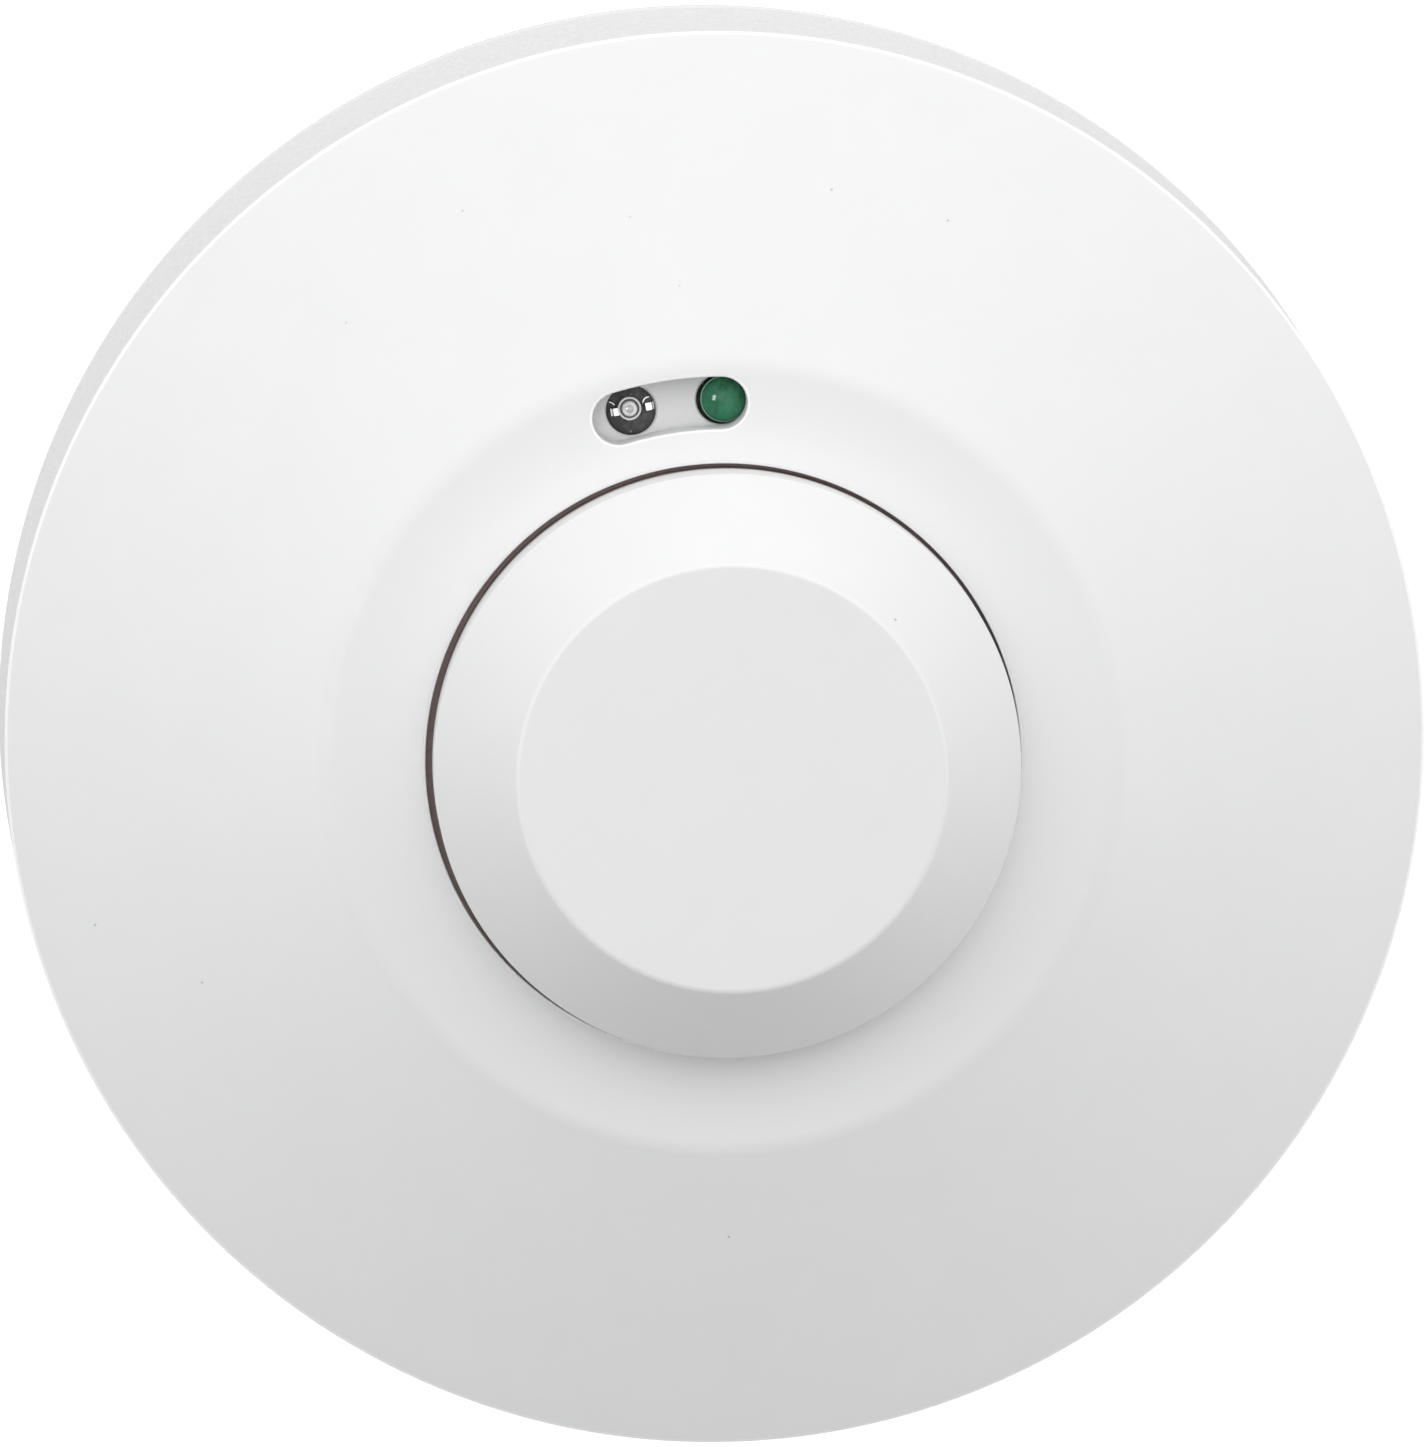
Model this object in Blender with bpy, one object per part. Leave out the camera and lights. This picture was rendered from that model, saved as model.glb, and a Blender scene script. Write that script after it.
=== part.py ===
"""A round heat detector: a twist-lock head on a mounting base, with a sprung test button in its middle.

Metres, +Z up. The flat face that goes against the ceiling is at z = 0, centred on the origin, and +Z
points out of the front. Everything round shares the Z axis.
"""

import math

import bmesh
import bpy
from mathutils import Matrix, Vector

MM = 0.001

# ---------------------------------------------------------------- driving dimensions
GAP = 0.3 * MM  # between pieces that touch on the real object

BASE_RADIUS = 60.0 * MM
BASE_THICKNESS = 2.4 * MM
BASE_ROUNDING = 0.6 * MM
CABLE_HOLE_RADIUS = 14.0 * MM
CABLE_COLLAR = 1.6 * MM
FIXING_SLOT_ANGLES = (0.0, 90.0, 180.0, 270.0)
FIXING_SLOT_MIDDLE = 31.0 * MM
FIXING_SLOT_LENGTH = 12.0 * MM
FIXING_SLOT_WIDTH = 4.8 * MM

COVER_BOTTOM = 2.8 * MM
COVER_SKIRT_RADIUS = 59.9 * MM
COVER_RIM_RADIUS = 59.0 * MM
COVER_RIM_HEIGHT = 25.0 * MM
COVER_WALL = 2.0 * MM
RIM_ROUNDING = 0.7 * MM
RIDGE_RADIUS = 32.4 * MM
RIDGE_HEIGHT = 37.0 * MM
RIDGE_ROUNDING = 3.0 * MM
BUTTON_HOLE_RADIUS = 24.4 * MM
BUTTON_HOLE_HEIGHT = 37.8 * MM
SLOPE_BULGE = 0.4 * MM
LEDGE_SAG = 0.18 * MM

BUTTON_RADIUS = 23.95 * MM
BUTTON_SHOULDER_HEIGHT = 42.0 * MM
BUTTON_FACE_RADIUS = 17.4 * MM
BUTTON_FACE_HEIGHT = 50.4 * MM
BUTTON_WALL = 1.8 * MM
BUTTON_FLANGE_RADIUS = 25.3 * MM
BUTTON_FLANGE_THICKNESS = 1.1 * MM
BUTTON_TRAVEL = 1.2 * MM

WINDOW_RADIUS = 29.2 * MM
WINDOW_HALF_WIDTH = 2.13 * MM
WINDOW_WALL = 1.0 * MM
WINDOW_ANGLES = (90.0, 107.0)
POWER_LED_ANGLE = 89.8
ALARM_LED_ANGLE = 104.8
LED_HOLE_RADIUS = 2.05 * MM

TWIST_ANGLE = 25.0
LOCK_ANGLES = (0.0, 120.0, 240.0)
LOCK_LUG_HALF_ARC = 11.0
LOCK_RING_OUTER = 46.0 * MM
LOCK_RING_INNER = 44.0 * MM
LOCK_SKIRT_INNER = 48.8 * MM
LOCK_SKIRT_OUTER = 50.8 * MM

CHASSIS_BOTTOM = 12.0 * MM
CHASSIS_TOP = 14.0 * MM
BOARD_BOTTOM = 29.7 * MM
BOARD_TOP = 31.3 * MM
BOARD_RADIUS = 37.0 * MM
SHIELD_BOTTOM = 32.3 * MM
SHIELD_TOP = 33.3 * MM
SHIELD_RADII = (26.6 * MM, 34.4 * MM)

TERMINAL_ANGLES = (45.0, 135.0, 225.0, 315.0)
TERMINAL_RADIUS = 25.0 * MM
CONTACT_RADIUS = 33.0 * MM
BOARD_SCREW_ANGLES = (30.0, 150.0, 270.0)
BOARD_SCREW_RADIUS = 30.5 * MM
COVER_SCREW_ANGLES = (60.0, 180.0, 300.0)
COVER_SCREW_RADIUS = 53.8 * MM

# Each screw's head radius, head height, shank radius and shank length.
TERMINAL_SCREW = (2.8 * MM, 2.0 * MM, 1.4 * MM, 2.3 * MM)
BOARD_SCREW = (1.9 * MM, 1.0 * MM, 1.0 * MM, 9.0 * MM)
COVER_SCREW = (2.5 * MM, 1.8 * MM, 1.2 * MM, 8.0 * MM)
BOARD_SCREW_HOLE = 1.4 * MM
COVER_SCREW_HOLE = 1.6 * MM
COVER_SCREW_CLEARANCE_HOLE = 1.7 * MM

THROUGH = 1.0 * MM  # how far a cutter reaches past a face it cuts through

LARGE_STEPS = 72
MEDIUM_STEPS = 48
SMALL_STEPS = 16
SCREW_STEPS = 12
MERGE = 1e-7


# ---------------------------------------------------------------- scene and materials
def clear_scene():
    for obj in list(bpy.data.objects):
        bpy.data.objects.remove(obj, do_unlink=True)


def make_material(name, colour, roughness, metallic=0.0):
    material = bpy.data.materials.new(name)
    material.use_nodes = True
    shader = material.node_tree.nodes["Principled BSDF"]
    shader.inputs["Base Color"].default_value = (*colour, 1.0)
    shader.inputs["Roughness"].default_value = roughness
    shader.inputs["Metallic"].default_value = metallic
    material.diffuse_color = (*colour, 1.0)
    return material


def make_materials():
    return {
        "cover": make_material("cover_white", (0.84, 0.84, 0.84), 0.45),
        "base": make_material("base_white", (0.78, 0.78, 0.77), 0.5),
        "chassis": make_material("chassis_white", (0.74, 0.74, 0.73), 0.55),
        "shield": make_material("shield_grey", (0.70, 0.70, 0.70), 0.5),
        "board": make_material("board_black", (0.02, 0.02, 0.022), 0.35),
        "package": make_material("package_black", (0.03, 0.03, 0.03), 0.5),
        "relay": make_material("relay_blue", (0.05, 0.16, 0.42), 0.4),
        "sleeve": make_material("sleeve_dark_blue", (0.03, 0.05, 0.12), 0.35),
        "brass": make_material("contact_brass", (0.75, 0.58, 0.27), 0.3, 1.0),
        "steel": make_material("screw_steel", (0.62, 0.62, 0.62), 0.3, 1.0),
        "tin": make_material("tinned_lead", (0.78, 0.78, 0.78), 0.25, 1.0),
        "green": make_material("led_green", (0.03, 0.30, 0.11), 0.3),
        "clear": make_material("led_clear", (0.85, 0.86, 0.86), 0.1),
        "ceramic": make_material("thermistor_black", (0.05, 0.04, 0.04), 0.45),
    }


def link(name, mesh, material, parent=None):
    obj = bpy.data.objects.new(name, mesh)
    bpy.context.scene.collection.objects.link(obj)
    obj.data.materials.append(material)
    if parent is not None:
        obj.parent = parent
    return obj


def make_pivot(name, height):
    """An empty on the Z axis, where the joint of the pieces under it acts."""
    pivot = bpy.data.objects.new(name, None)
    pivot.location = (0.0, 0.0, height)
    bpy.context.scene.collection.objects.link(pivot)
    return pivot


def hang_from(pivot, *objects):
    for obj in objects:
        obj.parent = pivot
        obj.matrix_parent_inverse = Matrix.Translation(pivot.location).inverted()


# ---------------------------------------------------------------- outlines
def polar(radius, degrees):
    angle = math.radians(degrees)
    return Vector((radius * math.cos(angle), radius * math.sin(angle)))


def round_corners(corners, steps=3):
    """Corners are (x, y) or (x, y, radius); each with a radius becomes an arc tangent to both sides."""
    points = []
    for index, corner in enumerate(corners):
        here = Vector(corner[:2])
        radius = corner[2] if len(corner) > 2 else 0.0
        if radius == 0.0:
            points.append(here)
            continue
        back = (Vector(corners[index - 1][:2]) - here).normalized()
        ahead = (Vector(corners[(index + 1) % len(corners)][:2]) - here).normalized()
        half = back.angle(ahead) / 2
        centre = here + (back + ahead).normalized() * (radius / math.sin(half))
        start = here + back * (radius / math.tan(half)) - centre
        turn = start.angle_signed(here + ahead * (radius / math.tan(half)) - centre)
        for step in range(steps + 1):
            spin = Matrix.Rotation(-turn * step / steps, 2)
            points.append(centre + spin @ start)
    return points


def bowed(start, end, bulge, steps):
    """Points between two ends of a shallow bow, the ends left out. A positive bulge bows upwards."""
    start, end = Vector(start), Vector(end)
    points = []
    for step in range(1, steps):
        share = step / steps
        rise = 4 * bulge * share * (1 - share)
        points.append(start.lerp(end, share) + Vector((0.0, rise)))
    return [tuple(point) for point in points]


def slope_height(radius):
    """Height of the cover's sloping front at a distance from the axis."""
    share = (COVER_RIM_RADIUS - radius) / (COVER_RIM_RADIUS - RIDGE_RADIUS)
    rise = (RIDGE_HEIGHT - COVER_RIM_HEIGHT) * share
    return COVER_RIM_HEIGHT + rise + 4 * SLOPE_BULGE * share * (1 - share)


def arc_slot(radius, half_width, first, last, steps=6, end_steps=6):
    """A slot that follows a circle about the axis, with round ends, anticlockwise."""
    points = [polar(radius + half_width, first + (last - first) * i / steps) for i in range(steps + 1)]
    for centre_angle, turn in ((last, 0.0), (first, 180.0)):
        centre = polar(radius, centre_angle)
        for i in range(1, end_steps):
            points.append(centre + polar(half_width, centre_angle + turn + 180.0 * i / end_steps))
        if turn == 0.0:
            points += [
                polar(radius - half_width, last - (last - first) * i / steps)
                for i in range(steps + 1)
            ]
    return points


def sector(inner, outer, first, last, steps=4):
    """Part of a ring between two angles, anticlockwise."""
    angles = [first + (last - first) * i / steps for i in range(steps + 1)]
    return [polar(outer, a) for a in angles] + [polar(inner, a) for a in reversed(angles)]


def rectangle(length, width):
    x, y = length / 2, width / 2
    return [Vector((-x, -y)), Vector((x, -y)), Vector((x, y)), Vector((-x, y))]


def circle(radius, steps=SMALL_STEPS):
    return [polar(radius, 360.0 * i / steps) for i in range(steps)]


def placed(points, radius, degrees):
    """Points drawn about the origin, moved out to a radius and turned to face outwards there."""
    spin = Matrix.Rotation(-math.radians(degrees), 2)
    return [spin @ point + polar(radius, degrees) for point in points]


# ---------------------------------------------------------------- meshes
def finish_mesh(bm, name, smooth_angle=40.0):
    bmesh.ops.remove_doubles(bm, verts=bm.verts, dist=MERGE)
    bmesh.ops.dissolve_degenerate(bm, edges=bm.edges, dist=MERGE)
    bmesh.ops.recalc_face_normals(bm, faces=bm.faces)
    mesh = bpy.data.meshes.new(name)
    bm.to_mesh(mesh)
    bm.free()
    mesh.shade_smooth()
    mesh.set_sharp_from_angle(angle=math.radians(smooth_angle))
    return mesh


def turned_mesh(name, outline, steps):
    """A closed outline of (radius, height) points spun about the Z axis."""
    bm = bmesh.new()
    verts = [bm.verts.new((point[0], 0.0, point[1])) for point in outline]
    edges = []
    for index, vert in enumerate(verts):
        other = verts[(index + 1) % len(verts)]
        if max(abs(vert.co.x), abs(other.co.x)) > MERGE:
            edges.append(bm.edges.new((vert, other)))
    bmesh.ops.spin(
        bm,
        geom=verts + edges,
        cent=(0.0, 0.0, 0.0),
        axis=(0.0, 0.0, 1.0),
        angle=2 * math.pi,
        steps=steps,
        use_merge=True,
    )
    return finish_mesh(bm, name)


def add_prism(bm, points, bottom, top):
    """Adds an upright prism. A top or bottom that is a function gives each corner its own height."""
    count = len(points)
    heights = [level if callable(level) else (lambda _, z=level: z) for level in (bottom, top)]
    rings = [[bm.verts.new((p[0], p[1], height(p))) for p in points] for height in heights]
    bm.faces.new(rings[0][::-1])
    bm.faces.new(rings[1])
    for i in range(count):
        j = (i + 1) % count
        bm.faces.new((rings[0][i], rings[0][j], rings[1][j], rings[1][i]))


def prism_mesh(name, prisms):
    """Prisms, each (points, bottom, top), that stay separate bodies in one mesh."""
    bm = bmesh.new()
    for points, bottom, top in prisms:
        add_prism(bm, points, bottom, top)
    return finish_mesh(bm, name)


def combine(target, operation, mesh):
    """Joins a helper mesh to the target, or cuts it out, with a Boolean modifier."""
    helper = bpy.data.objects.new(f"{target.name}_{mesh.name}", mesh)
    bpy.context.scene.collection.objects.link(helper)
    helper.hide_render = True
    helper.display_type = "WIRE"
    modifier = target.modifiers.new(mesh.name, "BOOLEAN")
    modifier.operation = operation
    modifier.object = helper
    modifier.solver = "EXACT"


def box_part(name, size, centre, bottom, material, bevel=0.2 * MM):
    """A box with bevelled edges, standing at a height."""
    bm = bmesh.new()
    bmesh.ops.create_cube(bm, size=1.0)
    bmesh.ops.scale(bm, vec=size, verts=bm.verts)
    bmesh.ops.translate(bm, vec=(centre[0], centre[1], bottom + size[2] / 2), verts=bm.verts)
    bmesh.ops.bevel(bm, geom=bm.edges, offset=bevel, segments=1, affect="EDGES")
    return link(name, finish_mesh(bm, name), material)


# ---------------------------------------------------------------- fasteners
def screw(name, centre, seat, size, material, head_up=True):
    """A pan-head screw with a slot. Its head stands on the seat, or hangs under it if head_up is False."""
    head_radius, head_height, shank_radius, shank_length = size
    outline = [
        (0.0, -shank_length),
        (shank_radius * 0.7, -shank_length),
        (shank_radius, -shank_length + shank_radius * 0.5),
        (shank_radius, 0.0),
        (head_radius, 0.0),
        (head_radius, head_height * 0.55),
        (head_radius * 0.75, head_height),
        (0.0, head_height),
    ]
    slot_half_width = head_radius * 0.15
    slot_floor = head_height * 0.5
    slot = rectangle(3 * head_radius, 2 * slot_half_width)  # longer than the head is wide
    flip = Matrix.Rotation(0.0 if head_up else math.pi, 4, "X")
    place = Matrix.Translation((centre[0], centre[1], seat)) @ flip
    body = turned_mesh(name, outline, SCREW_STEPS)
    body.transform(place)
    cutter = prism_mesh("slot", [(slot, slot_floor, head_height * 2)])
    cutter.transform(place)
    obj = link(name, body, material)
    combine(obj, "DIFFERENCE", cutter)
    return obj


# ---------------------------------------------------------------- base
TERMINAL_PAD = (10.0 * MM, 9.0 * MM)
TERMINAL_PAD_TOP = 4.1 * MM
TERMINAL_HOLE_FLOOR = 2.6 * MM
TERMINAL_HOLE_RADIUS = 1.8 * MM
LEAF_THICKNESS = 0.6 * MM
LEAF_WIDTH = 7.0 * MM
LEAF_TOP = 9.0 * MM
LOCK_LUG_BOTTOM = 8.0 * MM
LOCK_RING_TOP = 10.4 * MM
LOCK_LUG_TOP = 10.2 * MM
LOCK_CLEARANCE = 0.6 * MM
LOCK_OVERLAP = 1.0 * MM  # how far each lug reaches into the wall that carries it
STOP_TOP = 7.5 * MM
STOP_SLACK = 2.0
STOP_ARC = 3.0


def make_mounting_base(material):
    """A plate with a raised ring for the lock's lugs, a collar round the cable hole, pads and slots."""
    outline = round_corners(
        [
            (CABLE_HOLE_RADIUS, 0.0),
            (BASE_RADIUS, 0.0),
            (BASE_RADIUS, BASE_THICKNESS, BASE_ROUNDING),
            (LOCK_RING_OUTER, BASE_THICKNESS),
            (LOCK_RING_OUTER, LOCK_RING_TOP),
            (LOCK_RING_INNER, LOCK_RING_TOP),
            (LOCK_RING_INNER, BASE_THICKNESS),
            (CABLE_HOLE_RADIUS + CABLE_COLLAR, BASE_THICKNESS),
            (CABLE_HOLE_RADIUS + CABLE_COLLAR, BASE_THICKNESS + CABLE_COLLAR),
            (CABLE_HOLE_RADIUS, BASE_THICKNESS + CABLE_COLLAR),
        ],
        steps=2,
    )
    base = link("mounting_base", turned_mesh("mounting_base", outline, LARGE_STEPS), material)

    lug_outer = LOCK_SKIRT_INNER - LOCK_CLEARANCE
    lug_inner = LOCK_RING_OUTER - LOCK_OVERLAP
    inside_plate = BASE_THICKNESS / 2
    added = []
    for angle in LOCK_ANGLES:
        first, last = angle - LOCK_LUG_HALF_ARC, angle + LOCK_LUG_HALF_ARC
        added.append((sector(lug_inner, lug_outer, first, last), LOCK_LUG_BOTTOM, LOCK_LUG_TOP))
        # A stop just before the locked place of the head's lug, and one just after its free place.
        closed_stop = first - STOP_SLACK - STOP_ARC
        open_stop = last + TWIST_ANGLE + STOP_SLACK
        for start in (closed_stop, open_stop):
            stop = sector(lug_inner, lug_outer, start, start + STOP_ARC, steps=1)
            added.append((stop, inside_plate, STOP_TOP))
    pad = rectangle(*TERMINAL_PAD)
    for angle in TERMINAL_ANGLES:
        added.append((placed(pad, TERMINAL_RADIUS, angle), inside_plate, TERMINAL_PAD_TOP))
    combine(base, "UNION", prism_mesh("lugs", added))

    cuts = []
    half = FIXING_SLOT_WIDTH / 2
    straight = FIXING_SLOT_LENGTH / 2 - half
    slot = [Vector((straight, 0.0)) + polar(half, -90.0 + 30.0 * i) for i in range(7)]
    slot += [Vector((-straight, 0.0)) + polar(half, 90.0 + 30.0 * i) for i in range(7)]
    for angle in FIXING_SLOT_ANGLES:
        cuts.append((placed(slot, FIXING_SLOT_MIDDLE, angle), -BASE_THICKNESS, 2 * BASE_THICKNESS))
    for angle in TERMINAL_ANGLES:
        hole = placed(circle(TERMINAL_HOLE_RADIUS), TERMINAL_RADIUS, angle)
        cuts.append((hole, TERMINAL_HOLE_FLOOR, 2 * TERMINAL_PAD_TOP))
    combine(base, "DIFFERENCE", prism_mesh("holes", cuts))
    return base


def make_terminal_contact(index, angle, material):
    """A brass strip: flat under its screw, then up a ramp to the leaf that the head's pin wipes."""
    low = TERMINAL_PAD_TOP + GAP
    lower_side = [(20.5 * MM, low), (29.0 * MM, low), (31.0 * MM, LEAF_TOP), (36.0 * MM, LEAF_TOP)]
    rise = LEAF_THICKNESS
    # The ramp's upper side lies a little further in, which keeps the strip equally thick there.
    upper_side = [(x, z + rise) for x, z in lower_side]
    upper_side[1] = (lower_side[1][0] - rise * 0.8, low + rise)
    upper_side[2] = (lower_side[2][0] - rise * 0.8, LEAF_TOP + rise)
    side = [Vector(point) for point in lower_side + upper_side[::-1]]
    name = f"terminal_contact_{index}"
    bm = bmesh.new()
    add_prism(bm, side, -LEAF_WIDTH / 2, LEAF_WIDTH / 2)
    # The side view is drawn in XY, so it is stood up and then turned to its terminal's angle.
    stand = Matrix.Rotation(math.pi / 2, 4, "X")
    turn = Matrix.Rotation(math.radians(angle), 4, "Z")
    bmesh.ops.transform(bm, matrix=turn @ stand, verts=bm.verts)
    contact = link(name, finish_mesh(bm, name, smooth_angle=20.0), material)
    hole = placed(circle(TERMINAL_HOLE_RADIUS), TERMINAL_RADIUS, angle)
    combine(contact, "DIFFERENCE", prism_mesh("hole", [(hole, 0.0, 2 * TERMINAL_PAD_TOP)]))
    return contact


def make_base_group(materials):
    parts = [make_mounting_base(materials["base"])]
    seat = TERMINAL_PAD_TOP + GAP + LEAF_THICKNESS + GAP
    for index, angle in enumerate(TERMINAL_ANGLES, start=1):
        parts.append(make_terminal_contact(index, angle, materials["brass"]))
        centre = polar(TERMINAL_RADIUS, angle)
        name = f"terminal_screw_{index}"
        parts.append(screw(name, centre, seat, TERMINAL_SCREW, materials["steel"]))
    return parts


# ---------------------------------------------------------------- head: chassis and cover
CHASSIS_RADIUS = 56.9 * MM
CHASSIS_SKIRT_BOTTOM = 3.0 * MM
CHASSIS_LUG_BOTTOM = 5.0 * MM
CHASSIS_LUG_TOP = 7.4 * MM
POST_RADIUS = 3.2 * MM
POST_HOLE_FLOOR = 20.0 * MM
CONTACT_PIN_RADIUS = 1.3 * MM
CONTACT_PIN_HOLE = 1.7 * MM
COVER_BOSS_RADIUS = 2.7 * MM
COVER_BOSS_HOLE_DEPTH = 8.0 * MM
SHIELD_FOOT_RADIUS = 2.4 * MM


def make_chassis(material):
    """The plate that closes the head's back, with the lock's skirt and lugs, and posts for the board."""
    outline = [
        (0.0, CHASSIS_BOTTOM),
        (LOCK_SKIRT_INNER, CHASSIS_BOTTOM),
        (LOCK_SKIRT_INNER, CHASSIS_SKIRT_BOTTOM),
        (LOCK_SKIRT_OUTER, CHASSIS_SKIRT_BOTTOM),
        (LOCK_SKIRT_OUTER, CHASSIS_BOTTOM),
        (CHASSIS_RADIUS, CHASSIS_BOTTOM),
        (CHASSIS_RADIUS, CHASSIS_TOP),
        (0.0, CHASSIS_TOP),
    ]
    chassis = link("chassis", turned_mesh("chassis", outline, LARGE_STEPS), material)

    lug_inner = LOCK_RING_OUTER + LOCK_CLEARANCE
    lug_outer = LOCK_SKIRT_INNER + LOCK_OVERLAP
    inside_floor = (CHASSIS_BOTTOM + CHASSIS_TOP) / 2
    added = []
    for angle in LOCK_ANGLES:
        first, last = angle - LOCK_LUG_HALF_ARC, angle + LOCK_LUG_HALF_ARC
        added.append((sector(lug_inner, lug_outer, first, last), CHASSIS_LUG_BOTTOM, CHASSIS_LUG_TOP))
    for angle in BOARD_SCREW_ANGLES:
        post = placed(circle(POST_RADIUS), BOARD_SCREW_RADIUS, angle)
        added.append((post, inside_floor, BOARD_BOTTOM - GAP))
    combine(chassis, "UNION", prism_mesh("posts", added))

    cuts = []
    for angle in BOARD_SCREW_ANGLES:
        hole = placed(circle(BOARD_SCREW_HOLE, SCREW_STEPS), BOARD_SCREW_RADIUS, angle)
        cuts.append((hole, POST_HOLE_FLOOR, BOARD_BOTTOM + THROUGH))
    for angle in TERMINAL_ANGLES:
        hole = placed(circle(CONTACT_PIN_HOLE, SCREW_STEPS), CONTACT_RADIUS, angle)
        cuts.append((hole, CHASSIS_BOTTOM - THROUGH, CHASSIS_TOP + THROUGH))
    for angle in COVER_SCREW_ANGLES:
        hole = placed(circle(COVER_SCREW_CLEARANCE_HOLE, SCREW_STEPS), COVER_SCREW_RADIUS, angle)
        cuts.append((hole, CHASSIS_BOTTOM - THROUGH, CHASSIS_TOP + THROUGH))
    combine(chassis, "DIFFERENCE", prism_mesh("holes", cuts))
    return chassis


def cover_outline():
    """Up the skirt, over the rim, up the slope, across the ledge to the button's hole, then back inside."""
    rim = (COVER_RIM_RADIUS, COVER_RIM_HEIGHT)
    ridge = (RIDGE_RADIUS, RIDGE_HEIGHT)
    hole = (BUTTON_HOLE_RADIUS, BUTTON_HOLE_HEIGHT)
    drop = COVER_WALL * 1.1  # straight down through the slope, which is thicker than square to it
    inner_rim = COVER_RIM_RADIUS - COVER_WALL
    inner_slope = [
        (radius, slope_height(radius) - drop)
        for radius in (RIDGE_RADIUS - 0.6 * MM, 45.0 * MM, inner_rim - 0.2 * MM)
    ]
    return round_corners(
        [
            (COVER_SKIRT_RADIUS - COVER_WALL, COVER_BOTTOM),
            (COVER_SKIRT_RADIUS, COVER_BOTTOM),
            (*rim, RIM_ROUNDING),
            *bowed(rim, ridge, SLOPE_BULGE, 4),
            (*ridge, RIDGE_ROUNDING),
            *bowed(ridge, hole, -LEDGE_SAG, 3),
            (*hole, 0.3 * MM),
            (BUTTON_HOLE_RADIUS, BUTTON_HOLE_HEIGHT - COVER_WALL),
            *inner_slope,
        ],
        steps=2,
    )


def make_front_cover(material):
    """The whole white front, with the window's collar and the bosses that its screws go into."""
    cover = link("front_cover", turned_mesh("front_cover", cover_outline(), LARGE_STEPS), material)
    collar_bottom = SHIELD_TOP + GAP
    collar_top = RIDGE_HEIGHT - 0.7 * MM
    collar = arc_slot(WINDOW_RADIUS, WINDOW_HALF_WIDTH + WINDOW_WALL, *WINDOW_ANGLES)
    added = [(collar, collar_bottom, collar_top)]
    boss_bottom = CHASSIS_TOP + GAP
    for angle in COVER_SCREW_ANGLES:
        boss = placed(circle(COVER_BOSS_RADIUS), COVER_SCREW_RADIUS, angle)
        added.append((boss, boss_bottom, lambda p: slope_height(p.length) - COVER_WALL / 2))
    combine(cover, "UNION", prism_mesh("bosses", added))

    slot = arc_slot(WINDOW_RADIUS, WINDOW_HALF_WIDTH, *WINDOW_ANGLES)
    cuts = [(slot, collar_bottom - THROUGH, BUTTON_HOLE_HEIGHT + THROUGH)]
    for angle in COVER_SCREW_ANGLES:
        hole = placed(circle(COVER_SCREW_HOLE, SCREW_STEPS), COVER_SCREW_RADIUS, angle)
        cuts.append((hole, boss_bottom - THROUGH, boss_bottom + COVER_BOSS_HOLE_DEPTH))
    combine(cover, "DIFFERENCE", prism_mesh("openings", cuts))
    return cover


def make_led_shield(material):
    """The pale plate seen in the window, with a hole for each indicator and a foot round each screw."""
    inner, outer = SHIELD_RADII
    outline = [(inner, SHIELD_BOTTOM), (outer, SHIELD_BOTTOM), (outer, SHIELD_TOP), (inner, SHIELD_TOP)]
    shield = link("led_shield", turned_mesh("led_shield", outline, LARGE_STEPS), material)
    feet = []
    holes = []
    for angle in BOARD_SCREW_ANGLES:
        foot = placed(circle(SHIELD_FOOT_RADIUS, SCREW_STEPS), BOARD_SCREW_RADIUS, angle)
        feet.append((foot, BOARD_TOP + GAP, (SHIELD_BOTTOM + SHIELD_TOP) / 2))
        hole = placed(circle(BOARD_SCREW_HOLE, SCREW_STEPS), BOARD_SCREW_RADIUS, angle)
        holes.append((hole, BOARD_BOTTOM, SHIELD_TOP + THROUGH))
    for angle in (POWER_LED_ANGLE, ALARM_LED_ANGLE):
        hole = placed(circle(LED_HOLE_RADIUS, 24), WINDOW_RADIUS, angle)
        holes.append((hole, BOARD_BOTTOM, SHIELD_TOP + THROUGH))
    combine(shield, "UNION", prism_mesh("feet", feet))
    combine(shield, "DIFFERENCE", prism_mesh("holes", holes))
    return shield


# ---------------------------------------------------------------- head: circuit board
def make_circuit_board(material):
    outline = [
        (0.0, BOARD_BOTTOM),
        (BOARD_RADIUS, BOARD_BOTTOM),
        (BOARD_RADIUS, BOARD_TOP),
        (0.0, BOARD_TOP),
    ]
    board = link("circuit_board", turned_mesh("circuit_board", outline, MEDIUM_STEPS), material)
    holes = []
    for angle in BOARD_SCREW_ANGLES:
        hole = placed(circle(BOARD_SCREW_HOLE, SCREW_STEPS), BOARD_SCREW_RADIUS, angle)
        holes.append((hole, BOARD_BOTTOM - THROUGH, BOARD_TOP + THROUGH))
    combine(board, "DIFFERENCE", prism_mesh("holes", holes))
    return board


def dome(name, size, centre, bottom, steps, material):
    """A short cylinder under a low dome. The size is its radius, straight height and dome height."""
    radius, straight, rise = size
    dome_steps = 4
    outline = [(0.0, 0.0), (radius, 0.0), (radius, straight)]
    for i in range(1, dome_steps):
        angle = math.pi / 2 * i / dome_steps
        outline.append((radius * math.cos(angle), straight + rise * math.sin(angle)))
    outline.append((0.0, straight + rise))
    mesh = turned_mesh(name, outline, steps)
    mesh.transform(Matrix.Translation((centre[0], centre[1], bottom)))
    return link(name, mesh, material)


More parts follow.
